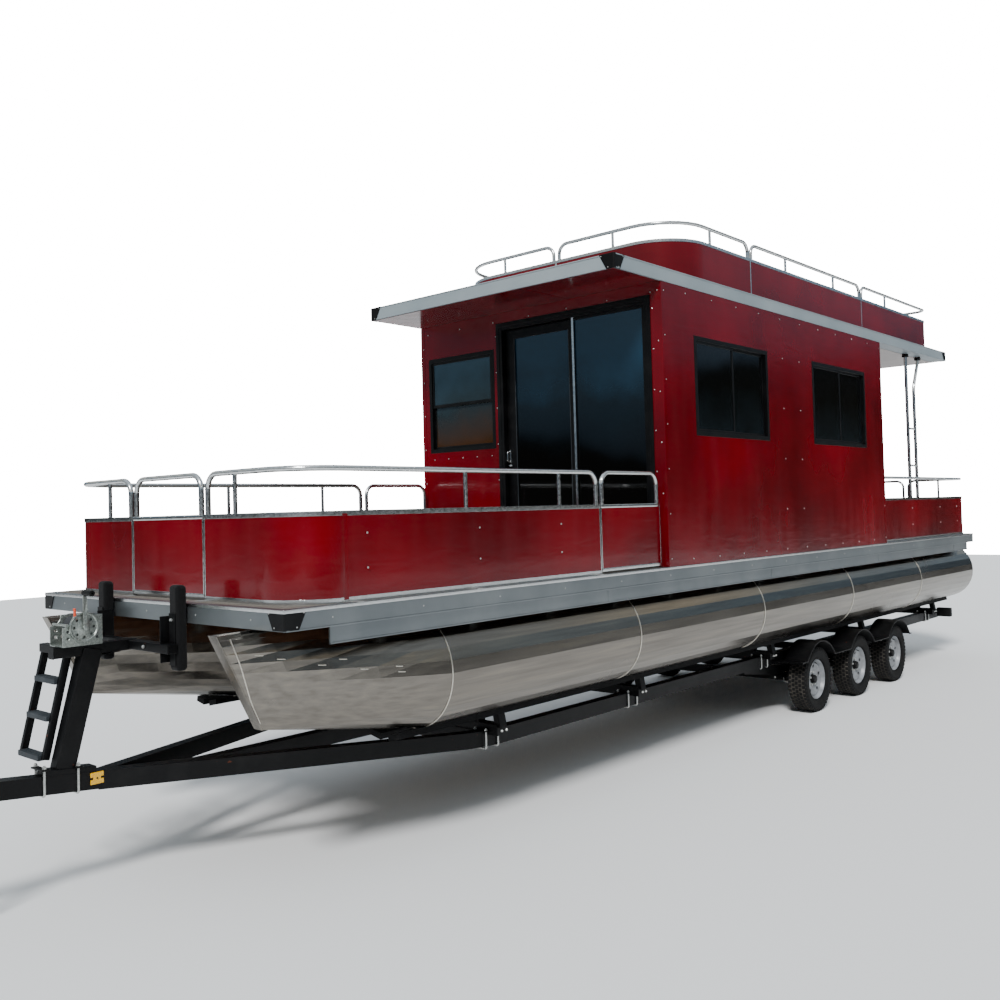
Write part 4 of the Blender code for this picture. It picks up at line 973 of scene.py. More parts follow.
patio = {
    "area": (-0.350, 0.0003, 1.180, 2.040),
    "bar": 0.045,
    "depth": 0.092,
    "fixed": (0.430, 0.036, 1.144, 2.004),
    "fixedNear": 0.008,
    "leaf": (-0.299, 0.066, 0.480, 1.989),
    "leafNear": 0.044,
    "sashDeep": 0.030,
    "stile": 0.050,
    "leafStiles": ((-0.299, -0.205), (0.378, 0.480)),  # the leaf's upright bars are wide
    "topRail": (1.915, 1.989),
    "bottomRail": (0.066, 0.190),
    "strip": (0.441, 0.462),  # bright interlock strip on the fixed pane's stile
    "pull": (-0.290, -0.268, 0.855, 0.970),
}


def addPatioDoor():
    p = patio
    parts = [
        frameBox("flange", "front", grown(p["area"], 0.017), -window["proud"], -cabin["gap"], 0.034, 0.0025),
        frameBox("frame", "front", p["area"], -0.003, p["depth"], p["bar"], 0.002),
        frameBox("fixed", "front", p["fixed"], p["fixedNear"], p["fixedNear"] + p["sashDeep"], p["stile"] - 0.018, 0.003),
        addBox("track", (-0.33, cabin["fore"] + 0.054, 0.034), (1.16, cabin["fore"] + 0.062, 0.057), 0.001),
    ]
    low = at(0, 0, 0.0003).z
    for part in parts[:1]:
        # the flange has no bottom bar below the deck
        pick(part, lambda spot: spot.z < low, vertices=True)
        bpy.ops.transform.translate(value=(0, 0, 0.017))
        leave()
    frames = joined("patioDoorFrame", parts)
    finishPiece(frames, "frame", "root", ["patio_door_frame"])
    near = p["fixedNear"] + 0.012
    pane = paneBox("patioFixedGlass", "front", grown(p["fixed"], -0.026), near, near + 0.006)
    finishPiece(pane, "glass")
    x0, x1 = p["strip"]
    strip = addBox("patioInterlock", (x0, cabin["fore"] + 0.002, 0.045), (x1, cabin["fore"] + 0.0079, 1.996), 0.002)
    finishPiece(strip, "rail")

    near, far = p["leafNear"], p["leafNear"] + p["sashDeep"]
    fore, aft = cabin["fore"] + near, cabin["fore"] + far
    leaf = p["leaf"]
    parts = [addBox("stile", (x0, fore, leaf[1]), (x1, aft, leaf[3]), 0.002) for x0, x1 in p["leafStiles"]]
    for low, high in (p["bottomRail"], p["topRail"]):
        parts.append(addBox("rail", (leaf[0] + 0.01, fore + 0.001, low), (leaf[2] - 0.01, aft - 0.001, high), 0.002))
    for x in (leaf[0] + 0.10, leaf[2] - 0.10):
        parts.append(addBox("roller", (x - 0.02, cabin["fore"] + 0.0545, 0.0576), (x + 0.02, cabin["fore"] + 0.0615, 0.075), 0.002))
    finishPiece(joined("patioLeafFrame", parts), "frame", "patio_leaf_body", ["patio_door_leaf"])
    inner = (p["leafStiles"][0][1] - 0.006, p["bottomRail"][1] - 0.006, p["leafStiles"][1][0] + 0.006, p["topRail"][0] + 0.006)
    pane = paneBox("patioLeafGlass", "front", inner, near + 0.012, near + 0.018)
    finishPiece(pane, "glass", "patio_leaf_body")
    seals = [
        addBox("seal", (inner[0] + 0.004, fore - 0.0015, inner[1]), (inner[0] + 0.010, fore + 0.004, inner[3]), 0.001),
        addBox("seal", (inner[2] - 0.010, fore - 0.0015, inner[1]), (inner[2] - 0.004, fore + 0.004, inner[3]), 0.001),
    ]
    finishPiece(joined("patioLeafSeals", seals), "step", "patio_leaf_body")
    # pull handle with its thumb latch, flat enough to pass behind nothing
    x0, x1, low, high = p["pull"]
    middle = (x0 + x1) / 2
    plate = addBox("plate", (x0, fore - 0.006, low), (x1, fore, high), 0.003)
    bar = addTube("bar", [at(middle, fore - 0.003, low + 0.015), at(middle, fore - 0.036, low + 0.015), at(middle, fore - 0.036, high - 0.015), at(middle, fore - 0.003, high - 0.015)], 0.006, (0.014, 0.014))
    latch = addBox("latch", (middle - 0.004, fore - 0.018, low - 0.028), (middle + 0.030, fore - 0.004, low - 0.012), 0.004)
    finishPiece(joined("patioHandle", [plate, bar, latch]), "rail", "patio_leaf_body")


aftDoor = {
    "leaf": (-0.399, 0.012, 0.399, 2.024),
    "window": (-0.275, 1.05, 0.275, 1.88),
    "thick": 0.040,
    "handle": (-0.335, 0.98),
    "kick": (-0.34, 0.06, 0.34, 0.30),
}


def addAftDoor():
    d = aftDoor
    face = cabin["aft"]
    body = "aft_door_body"
    area = d["window"]
    rings = []
    for near, far in ((face + 0.0003, face + 0.005), (face - d["thick"] - 0.005, face - d["thick"] - 0.0003)):
        low, high = (area[0] - 0.02, near, area[1] - 0.02), (area[2] + 0.02, far, area[3] + 0.02)
        rings.append(addFrame("ring", low, high, 0.032, 1, 0.002))
    finishPiece(joined("aftDoorWindowFrame", rings), "frame", body)
    panes = []
    for near in (face - 0.0145, face - 0.0258):
        panes.append(addBox("pane", (area[0], near, area[1]), (area[2], near + 0.0012, area[3]), 0.0003))
    finishPiece(joined("aftDoorGlass", panes), "sideGlass", body)
    x, up = d["handle"]
    parts = [
        addBox("plate", (x - 0.022, face + 0.0003, up - 0.10), (x + 0.022, face + 0.006, up + 0.10), 0.002),
        addTube("lever", [at(x, face + 0.004, up), at(x, face + 0.045, up), at(x + 0.11, face + 0.045, up)], 0.008, (0.012,)),
        addDisc("lock", at(x, face + 0.008, up - 0.06), 0.012, 0.008, (0, 1, 0), 20, 0.001),
    ]
    finishPiece(joined("aftDoorHandle", parts), "rail", body)
    low, high = (d["kick"][0], face + 0.0003, d["kick"][1]), (d["kick"][2], face + 0.0018, d["kick"][3])
    kick = addBox("aftDoorKickPlate", low, high, 0.0005)
    finishPiece(kick, "trim", body)
    sill = addBox("aftDoorSill", (-0.404, face - 0.044, 0.0003), (0.404, face - 0.001, 0.009), 0.002)
    finishPiece(sill, "rail")
    jamb = addFrame("aftDoorTrim", (-0.428, face + 0.0003, -0.03), (0.428, face + 0.003, 2.053), 0.022, 1, 0.001)
    low = at(0, 0, 0.0005).z
    pick(jamb, lambda spot: spot.z < low, vertices=True)
    bpy.ops.transform.translate(value=(0, 0, 0.0305))
    leave()
    finishPiece(jamb, "rail")


def spread(start, end, pitch):
    # evenly spaced values from start to end, about a pitch apart
    count = max(1, round((end - start) / pitch))
    return [start + (end - start) * i / count for i in range(count + 1)]


def addRivets():
    # rivet heads round each wall and on the fences
    half, out = cabin["half"] + 0.001, (1, 0, 0)
    places = []
    for up in spread(0.06, 2.08, rivet["pitch"]):
        places += [at(half, cabin["fore"] + 0.035, up), at(half, cabin["aft"] - 0.030, up)]
    for aft in spread(cabin["fore"] + 0.35, cabin["aft"] - 0.35, 0.42):
        places += [at(half, aft, 2.10), at(half, aft, 0.045)]
    for aft in (5.46, 5.80):
        places += [at(half, aft, up) for up in spread(0.40, 1.75, 0.45)]
    bothSides(addStuds("portWallRivets", places, rivet["radius"], rivet["tall"], out), "bolt")
    face = cabin["fore"] - 0.001
    places = []
    for up in spread(0.10, 1.95, 0.31):
        places += [at(1.213, face, up), at(-0.376, face, up), at(-1.262, face, up)]
    for up in spread(0.55, 2.08, 0.34):
        places.append(at(1.262, face, up))
    places += [at(x, face, 2.075) for x in spread(-1.20, 1.20, 0.40)]
    places += [at(x, face, 0.93) for x in spread(-1.15, -0.45, 0.175)]
    finishPiece(addStuds("frontWallRivets", places, rivet["radius"], rivet["tall"], (0, -1, 0)), "bolt")
    face = cabin["aft"] + 0.001
    places = []
    for up in spread(0.06, 2.08, rivet["pitch"]):
        places += [at(side * 1.215, face, up) for side in sides.values()]
    places += [at(x, face, 2.10) for x in spread(-1.0, 1.0, 0.40)]
    finishPiece(addStuds("aftWallRivets", places, rivet["radius"], rivet["tall"], (0, 1, 0)), "bolt")
    half = fence["x"] + fence["panelThick"] / 2 + 0.001
    places = [at(half, aft, up) for aft in (0.583, 1.463, 2.25, 8.73, 9.67, 10.3) for up in (0.172, 0.357)]
    bothSides(addStuds("portFenceRivets", places, 0.006, 0.003, out), "bolt")


def addCorners():
    # folded red angles over the four corners of the cabin
    reach, thick = 0.036, 0.0016
    corners = []
    for aft, step in ((cabin["fore"], 1), (cabin["aft"], -1)):
        line = [
            at(cabin["half"] - 0.0452, aft - step * 0.0012, 0.004),
            at(cabin["half"] + 0.0012, aft - step * 0.0012, 0.004),
            at(cabin["half"] + 0.0012, aft + step * reach, 0.004),
        ]
        corners.append(addSheet("angle", line, cabin["top"] - 0.012, thick, (0.004,), 4))
    bothSides(joined("portCabinCorners", corners), "red")


addWindows()
addPatioDoor()
addAftDoor()
addCorners()
addRivets()
print("cabin done")


# roof edge, soffit and upper deck
roof = {
    "fore": 2.877,
    "aft": 9.935,
    "low": 2.148,
    "top": 2.256,
    "half": 1.295,
    "capTop": 0.130,
    "capLow": 0.068,
    "lip": 0.004,
}

deck = {
    "length": 10.74,
    "rimLow": -0.107,
    "skirtLow": -0.200,
    "skirtFore": 0.30,
    "skirtAft": 10.56,
    "skirtFace": 1.272,
    "capTop": 0.138,
    "capLow": 0.090,
}


def addCornerCap(name, aft, step, low, high, topReach, lowReach, proud):
    # a folded black plate round a corner, narrower at its foot, with two rivets on each wing
    x = roof["half"] + proud / 2
    edge = aft - step * proud / 2
    line = [at(x - topReach, edge, low), at(x, edge, low), at(x, edge + step * topReach, low)]
    piece = addWire(name, line, (0.006,), 4)
    editAll(piece)
    bpy.ops.mesh.extrude_region_move(TRANSFORM_OT_translate={"value": (0, 0, high - low)})
    leave()
    foot = at(0, 0, low).z + 0.001
    draw = topReach - lowReach
    pick(piece, lambda spot: spot.z < foot and (spot - line[0]).length < 0.002, vertices=True)
    bpy.ops.transform.translate(value=(draw, 0, 0))
    leave()
    pick(piece, lambda spot: spot.z < foot and (spot - line[2]).length < 0.002, vertices=True)
    bpy.ops.transform.translate(value=(0, -step * draw, 0))
    leave()
    applyModifier(piece, "SOLIDIFY", thickness=proud - 0.0006, offset=0.0)
    rows = ((high - 0.014, topReach - 0.018), (low + 0.014, lowReach - 0.014))
    heads = [at(x - reach, edge - step * proud / 2, up) for up, reach in rows]
    studs = [addStuds("heads", heads, 0.0045, 0.0016, (0, -step, 0))]
    heads = [at(x + proud / 2, edge + step * reach, up) for up, reach in rows]
    studs.append(addStuds("heads", heads, 0.0045, 0.0016, (1, 0, 0)))
    return piece, joined(name + "Heads", studs)


def addRoof():
    r = roof
    caps, heads = [], []
    for place, aft, step in (("Fore", r["fore"], 1), ("Aft", r["aft"], -1)):
        cap, studs = addCornerCap("cap" + place, aft, step, r["low"] - 0.002, r["top"] + 0.001, r["capTop"], r["capLow"], 0.0045)
        caps.append(cap)
        heads.append(studs)
    bothSides(joined("portRoofCaps", caps), "frame")
    bothSides(joined("portRoofCapRivets", heads), "bolt")
    # folded lips along the fascia
    lips = []
    half, lip = r["half"], r["lip"]
    for up in (r["low"] + 0.001, r["top"] - 0.009):
        lips.append(addBox("lip", (half - 0.01, r["fore"] + 0.02, up), (half + lip, r["aft"] - 0.02, up + 0.008), 0.0018))
    bothSides(joined("portRoofLips", lips), "roof")
    lips = []
    for aft, step in ((r["fore"], -1), (r["aft"], 1)):
        reach = lip if step < 0 else 0.0
        for up in (r["low"] + 0.001, r["top"] - 0.009):
            low, high = sorted((aft - step * 0.01, aft + step * max(reach, 0.003)))
            lips.append(addBox("lip", (0.02 - half, low, up), (half - 0.02, high, up + 0.008), 0.0015))
    finishPiece(joined("roofEndLips", lips), "roof")
    # soffit boards, all one pale sheet: red ahead of the cabin as a painted reflection of the red wall with painted
    # shade, pale pinkish behind it as painted light from the stern deck
    boards = []
    for x0, x1 in ((-1.285, -0.432), (-0.428, 0.428), (0.432, 1.285)):
        boards.append(addBox("board", (x0, r["fore"] + 0.008, r["low"] - 0.0032), (x1, cabin["fore"] - 0.002, r["low"] - 0.0003), 0.001))
    # painted reflection and shade: the fore soffit takes the red wall's finish
    finishPiece(joined("foreSoffitPaintedReflection", boards), "red")
    boards = []
    stops = (cabin["aft"] + 0.004, 8.506, 8.510, 9.216, 9.220, r["aft"] - 0.008)
    for start, end in zip(stops[::2], stops[1::2]):
        for x0, x1 in ((-1.147, -0.002), (0.002, 1.147)):
            boards.append(addBox("board", (x0, start, r["low"] - 0.0032), (x1, end, r["low"] - 0.0003), 0.001))
    finishPiece(joined("aftSoffitPaintedLight", boards), "soffit")
    # vinyl decking inside the upper fence
    mat = addBox("upperDecking", (-1.165, 3.905, r["top"] + 0.0002), (1.165, 9.575, r["top"] + 0.003), 0.001)
    finishPiece(mat, "deck")


def addDeckEdge():
    d = deck
    cap, studs = addCornerCap("portDeckCap", 0.0, 1, d["rimLow"] + 0.004, -0.006, d["capTop"], d["capLow"], 0.0045)
    bothSides(cap, "frame")
    bothSides(studs, "bolt")
    half = roof["half"]
    line = [at(half + 0.001, d["length"] - 0.01, -0.018), at(half + 0.001, -0.001, -0.018), at(-half - 0.001, -0.001, -0.018), at(-half - 0.001, d["length"] - 0.01, -0.018)]
    band = addSheet("deckTopBand", line, 0.017, 0.010, (0.006, 0.006), 3, 0.003)
    finishPiece(band, "rail")
    bands = [
        addBox("fold", (half - 0.004, 0.012, d["rimLow"] - 0.002), (half + 0.003, d["length"] - 0.01, d["rimLow"] + 0.008), 0.002),
        addBox("hem", (d["skirtFace"] - 0.014, d["skirtFore"], d["skirtLow"] + 0.0002), (d["skirtFace"] + 0.004, d["skirtAft"], d["skirtLow"] + 0.010), 0.002),
    ]
    for aft in (2.74, 5.18, 7.62, 10.06):
        bands.append(addBox("joint", (d["skirtFace"] - 0.01, aft - 0.025, d["skirtLow"] + 0.006), (d["skirtFace"] + 0.0016, aft + 0.025, d["rimLow"] + 0.006), 0.0006))
    bothSides(joined("portSkirtFolds", bands), "trim")
    screws = [at(half + 0.0008, aft, -0.060) for aft in spread(0.30, 10.50, 0.62)]
    bothSides(addStuds("portRimScrews", screws, 0.0045, 0.002, (1, 0, 0)), "bolt")
    screws = [at(x, -0.0008, -0.060) for x in spread(-1.02, 1.02, 0.51)]
    finishPiece(addStuds("bowRimScrews", screws, 0.0045, 0.002, (0, -1, 0)), "bolt")
    # small bright pads under the fence posts and gate ends
    pads = [addBox("pad", (fence["x"] - 0.004, aft - 0.022, -0.012), (half + 0.0045, aft + 0.022, 0.004), 0.002) for aft in (0.485, 1.40, 2.62)]
    bothSides(joined("portFencePads", pads), "bolt")
    pads = [addBox("pad", (x - 0.03, -0.0045, -0.012), (x + 0.03, 0.13, 0.004), 0.002) for x in (-0.39, 0.39)]
    finishPiece(joined("bowGatePads", pads), "bolt")


addRoof()
addDeckEdge()
print("roof and deck edge done")


# pontoons and the deck's underside
pontoon = {
    "x": 0.930,
    "up": -0.466,
    "radius": 0.350,
    "seams": (1.17, 3.10, 5.00, 6.90, 8.85),
    "bead": 0.0036,
    "end": 10.735,
    "stemHead": (-0.163, -0.126),
    "stemFoot": (0.098, -0.634),
    "stemHalf": 0.037,
    "stemWeld": ((0.962, -0.085, -0.150), (0.978, -0.040, -0.278), (0.978, -0.006, -0.390), (0.967, 0.029, -0.485), (0.963, 0.083, -0.600)),
    # short stitch welds on the nose's shoulder: x, aft, up, and the rise over each dash
    "stitches": ((1.004, 0.055, -0.246), (1.046, 0.160, -0.274), (1.113, 0.368, -0.326), (1.142, 0.485, -0.308), (1.181, 0.596, -0.372), (1.229, 0.805, -0.381), (1.231, 0.820, -0.413)),
    "stitchHalf": 0.022,
}


def addPontoonWelds():
    p = pontoon
    beads = []
    for seam in p["seams"]:
        deselect()
        middle = at(p["x"], seam, p["up"])
        bpy.ops.mesh.primitive_torus_add(major_radius=p["radius"], minor_radius=p["bead"], major_segments=90, minor_segments=8, location=middle, rotation=(math.radians(90), 0, 0))
        ring = takeName("ring")
        bpy.ops.object.transform_apply()
        beads.append(ring)
    line = [at(*spot) for spot in p["stemWeld"]]
    beads.append(addTube("stemWeld", line, 0.0035, (0.03, 0.03, 0.03), 2))
    other = [at(2 * p["x"] - x, aft, up) for x, aft, up in p["stemWeld"]]
    beads.append(addTube("stemWeld", other, 0.0035, (0.03, 0.03, 0.03), 2))
    for x, aft, up in p["stitches"]:
        run = Vector((0.30, 0.95, -0.10)) * p["stitchHalf"]
        middle = at(x, aft, up)
        beads.append(addTube("stitch", [middle - run, middle, middle + run], 0.0035, (0.01,), 2))
    bothSides(joined("portPontoonWelds", beads), "weld")
    (aft0, up0), (aft1, up1) = p["stemHead"], p["stemFoot"]
    out = Vector((0, up1 - up0, aft0 - aft1)).normalized() * 0.003
    ends = [at(p["x"] - p["stemHalf"], aft0, up0) + out, at(p["x"] - p["stemHalf"], aft1, up1) + out]
    stem = addStrip("portStemPlate", ends, (2 * p["stemHalf"], 0, 0), 0.007, edge=0.0025)
    bothSides(stem, "mill")
    cap = addSpun("portPontoonCap", at(p["x"], p["end"] - 0.0395, p["up"]), ((0.0005, 0.0380), (0.200, 0.0385), (0.336, 0.0375), (0.346, 0.0330), (0.3485, 0.0200), (0.340, 0.0200), (0.0005, 0.0300)), 60, (0, 1, 0))
    bothSides(cap, "mill")
    plugs = [addDisc("plug", at(p["x"], p["end"] - 0.0045, p["up"] - 0.27), 0.016, 0.007, (0, 1, 0), 6, 0.0015)]
    bothSides(joined("portDrainPlug", plugs), "bolt")
    board = addBox("deckUnderside", (-1.24, 0.04, -0.0330), (1.24, 10.60, -0.0305), 0.0008)
    finishPiece(board, "plywood")


addPontoonWelds()
print("pontoons done")


# tyres, wheels and hubs, modelled at the first port axle and copied
wheel = {
    "x": 1.110,
    "up": -1.230,
    "axles": (6.20, 7.20, 8.20),
    "steps": 60,
    # radius, outboard
    "carcass": ((0.188, 0.062), (0.196, 0.078), (0.205, 0.0825), (0.209, 0.0822), (0.212, 0.0845), (0.216, 0.0845), (0.219, 0.0828), (0.245, 0.0872), (0.262, 0.0864), (0.264, 0.0880), (0.268, 0.0876), (0.270, 0.0850), (0.283, 0.0790), (0.292, 0.0720), (0.2965, 0.062), (0.2975, 0.030)),
    "pitches": 46,
    "lugs": ((-0.081, -0.053, 0.5), (-0.047, -0.019, 0.0), (-0.013, 0.013, 0.5), (0.019, 0.047, 0.0), (0.053, 0.081, 0.5)),  # x, x, share of a pitch
    "lugHalf": 0.0145,
    "lugTop": 0.3043,
    "rim": (
        (0.1850, 0.0655), (0.1790, 0.0672), (0.1735, 0.0620), (0.1690, 0.0460), (0.1610, 0.0360), (0.1585, 0.0180),
        (0.1585, -0.0500), (0.1700, -0.0580), (0.1840, -0.0655), (0.1862, -0.0620), (0.1755, -0.0540), (0.1740, -0.0300),
        (0.1640, -0.0200), (0.1640, 0.0180), (0.1740, 0.0340), (0.1755, 0.0550), (0.1862, 0.0620), (0.1850, 0.0655),
    ),
    "disc": (
        (0.1590, 0.0300), (0.1500, 0.0385), (0.1220, 0.0350), (0.0880, 0.0270), (0.0720, 0.0200), (0.0450, 0.0195),
        (0.0450, 0.0140), (0.0720, 0.0145), (0.0880, 0.0210), (0.1220, 0.0290), (0.1480, 0.0325), (0.1560, 0.0260), (0.1590, 0.0300),
    ),
    "hole": (0.121, 0.0175),  # circle and radius
    "nuts": 0.0615,
    "cap": ((0.0005, 0.0140), (0.0460, 0.0140), (0.0460, 0.0215), (0.0400, 0.0270), (0.0385, 0.0480), (0.0350, 0.0560), (0.0220, 0.0590), (0.0200, 0.0605), (0.0005, 0.0605)),
    "drum": ((0.0520, -0.0560), (0.1280, -0.0560), (0.1320, -0.0520), (0.1320, -0.0460), (0.1270, -0.0440), (0.1270, 0.0060), (0.1200, 0.0120), (0.0480, 0.0120), (0.0480, -0.0500), (0.0520, -0.0560)),
}


def addTyre(hub):
    w = wheel
    side = list(w["carcass"])
    profile = side + [(radius, -out) for radius, out in reversed(side)] + [side[0]]
    carcass = addSpun("carcass", hub, profile, w["steps"])
    groups = {0.0: [], 0.5: []}
    for x0, x1, share in w["lugs"]:
        top = w["lugTop"] - abs(x0 + x1) * 0.025
        groups[share].append(addBox("lug", (w["x"] + x0, w["axles"][0] - w["lugHalf"], w["up"] + 0.290), (w["x"] + x1, w["axles"][0] + w["lugHalf"], w["up"] + top)))
        if abs(x0 + x1) > 0.1:
            outer = 1 if x1 > 0 else -1
            x0, x1 = sorted((w["x"] + outer * 0.0735, w["x"] + outer * 0.0835))
            half = w["lugHalf"] * 0.8
            groups[share].append(addBox("shoulder", (x0, w["axles"][0] - half, w["up"] + 0.268), (x1, w["axles"][0] + half, w["up"] + 0.2955)))
    turned = joined("lugs", groups[0.5])
    editAll(turned)
    bpy.ops.transform.rotate(value=math.pi / w["pitches"], orient_axis="X", center_override=hub)
    leave()
    tread = joined("tread", [turned, *groups[0.0]])
    # the outer half of the pitch leans, as cut sipes do
    pick(tread, lambda spot: abs(spot.x - w["x"]) > 0.05, vertices=True)
    bpy.ops.transform.translate(value=(0, 0.005, 0))
    leave()
    soften(tread, 0.0018, 1)
    spinCopies(tread, hub, w["pitches"])
    return joined("tyre", [carcass, tread])


def spinCopies(piece, centre, count, axis=(1, 0, 0)):
    # the same shape again at even steps round an axis
    editAll(piece)
    bpy.ops.mesh.spin(steps=count - 1, dupli=True, angle=math.tau * (count - 1) / count, center=centre, axis=axis)
    leave()


def addWheels():
    w = wheel
    hub = at(w["x"], w["axles"][0], w["up"])
    out = Vector((1, 0, 0))
    parts = {"rubber": [addTyre(hub)]}
    disc = addSpun("disc", hub, w["disc"], w["steps"])
    circle, radius = w["hole"]
    cutter = addDisc("cutter", hub + Vector((0.03, 0, circle)), radius, 0.08, out, 20)
    spinCopies(cutter, hub, 5)
    applyModifier(disc, "BOOLEAN", operation="DIFFERENCE", object=cutter, solver="EXACT")
    bpy.data.objects.remove(cutter, do_unlink=True)
    soften(disc, 0.0012, 1)
    rim = addSpun("rim", hub, w["rim"], w["steps"])
    parts["white"] = [joined("wheel", [disc, rim])]
    nut = addDisc("nut", hub + Vector((0.027, 0, w["nuts"])), 0.0115, 0.016, out, 6, 0.003)
    washer = addDisc("washer", hub + Vector((0.0205, 0, w["nuts"])), 0.0140, 0.003, out, 16, 0.0005)
    nuts = joined("nuts", [nut, washer])
    spinCopies(nuts, hub, 5)
    parts["bolt"] = [nuts]
    cap = addSpun("cap", hub, w["cap"], 32)
    drum = addSpun("drum", hub, w["drum"], 40)
    parts["steel"] = [joined("hub", [cap, drum])]
    stem = [hub + Vector((0.030, 0.030, 0.147)), hub + Vector((0.044, 0.030, 0.149)), hub + Vector((0.062, 0.029, 0.142))]
    parts["plastic"] = [addTube("valve", stem, 0.0042, (0.004,), 3)]
    grooves = ((0.2970, -0.0760), (0.2981, -0.0740), (0.2986, -0.0400), (0.2986, 0.0400), (0.2981, 0.0740), (0.2970, 0.0760), (0.2950, 0.0760), (0.2950, -0.0760), (0.2970, -0.0760))
    parts["grit"] = [addSpun("grooves", hub, grooves, w["steps"])]
    labels = {"rubber": "tyre", "white": "wheel", "bolt": "wheelNuts", "steel": "wheelHub", "plastic": "valve", "grit": "tyreGrooves"}
    for finish, (piece,) in parts.items():
        for side in sides:
            for number, aft in enumerate(w["axles"], start=1):
                name = f"{labels[finish]}_{side}_{number}_detail"
                copy = copyPiece(piece, name, (0, aft - w["axles"][0], 0), side == "starboard")
                stands = [f"{labels[finish]}_{side}_{number}"] if finish in ("rubber", "white") else []
                finishPiece(copy, finish, f"wheel_{side}_{number}_body", stands)
        bpy.data.objects.remove(piece, do_unlink=True)


addWheels()
print("wheels done")


# trailer
trailer = {
    "railX": 0.90,
    "railHalf": 0.040,
    "railUp": -1.005,
    "railTop": -0.955,
    "crosses": (1.85, 3.45, 5.60, 7.70, 9.95),
    "crossTop": -0.905,
    "tongueHalf": 0.045,
    "tongueTall": 0.048,
    "bend": 0.30,
    "rise": 0.105,
    "fenderRadius": 0.367,
    "fenderIn": 1.010,
    "fenderOut": 1.240,
    "fenderTurns": (145, 35, 30),
    "fenderLips": (0.12, 0.05),
    "brackets": ((5.82, 0.05), (6.70, 0.13), (7.70, 0.13)),
    "bolt": 0.0065,
}


def tongueUp(aft):
    return trailer["railUp"] + trailer["rise"] * max(0.0, trailer["bend"] - aft)


def addFenders():
    t = trailer
    path = []
    start, valley, last = t["fenderTurns"]
    for aft in wheel["axles"]:
        stop = last if aft == wheel["axles"][-1] else valley
        for i in range(25):
            turn = math.radians(start - (start - stop) * i / 24)
            path.append(at(t["fenderIn"], aft + t["fenderRadius"] * math.cos(turn), wheel["up"] + t["fenderRadius"] * math.sin(turn)))
    path.insert(0, path[0] - Vector((0, t["fenderLips"][0], 0)))
    path.append(path[-1] + Vector((0, t["fenderLips"][1], 0)))
    wide = t["fenderOut"] - t["fenderIn"]
    parts = [addStrip("sheet", path, (wide, 0, 0), 0.005)]
    hem = [spot + Vector((wide - 0.0055, 0, -0.002)) for spot in path]
    parts.append(addTube("hem", hem, 0.0055, rounds=2))
    # a folded web closes the valley between two wheels
    low = wheel["up"] + t["fenderRadius"] * math.sin(math.radians(valley))
    for aft, reach in t["brackets"]:
        parts.append(addBox("bracket", (t["railX"] + t["railHalf"] + 0.0003, aft - reach, low - 0.012), (t["fenderIn"] + 0.08, aft + reach, low - 0.003), 0.002))
        parts.append(addBox("stay", (t["fenderIn"] + 0.06, aft - 0.02, low - 0.016), (t["fenderOut"] - 0.012, aft + 0.02, low - 0.006), 0.002))
    bothSides(joined("portFenderDetail", parts), "steel", ["fender_port"])
    heads = [at(t["fenderIn"] + 0.02, aft + step * reach * 0.6, low - 0.001) for aft, reach in t["brackets"][1:] for step in (-1, 1)]
    bothSides(addStuds("portFenderBolts", heads, 0.009, 0.007, (0, 0, 1), 6), "bolt")


def addClamp(x, aft, half, low, top, radius):
    # a U-bolt up round a rail, through a plate with a nut on each leg
    reach = half + radius
    points = [at(x - reach, aft, top), at(x - reach, aft, low - radius), at(x + reach, aft, low - radius), at(x + reach, aft, top)]
    parts = [addTube("bolt", points, radius, (0.012, 0.012), 3, 4)]
    for side in (-1, 1):
        parts.append(addDisc("nut", at(x + side * reach, aft, top - 0.012), radius * 1.75, 0.009, (0, 0, 1), 6, 0.0015))
    return joined("clamp", parts)


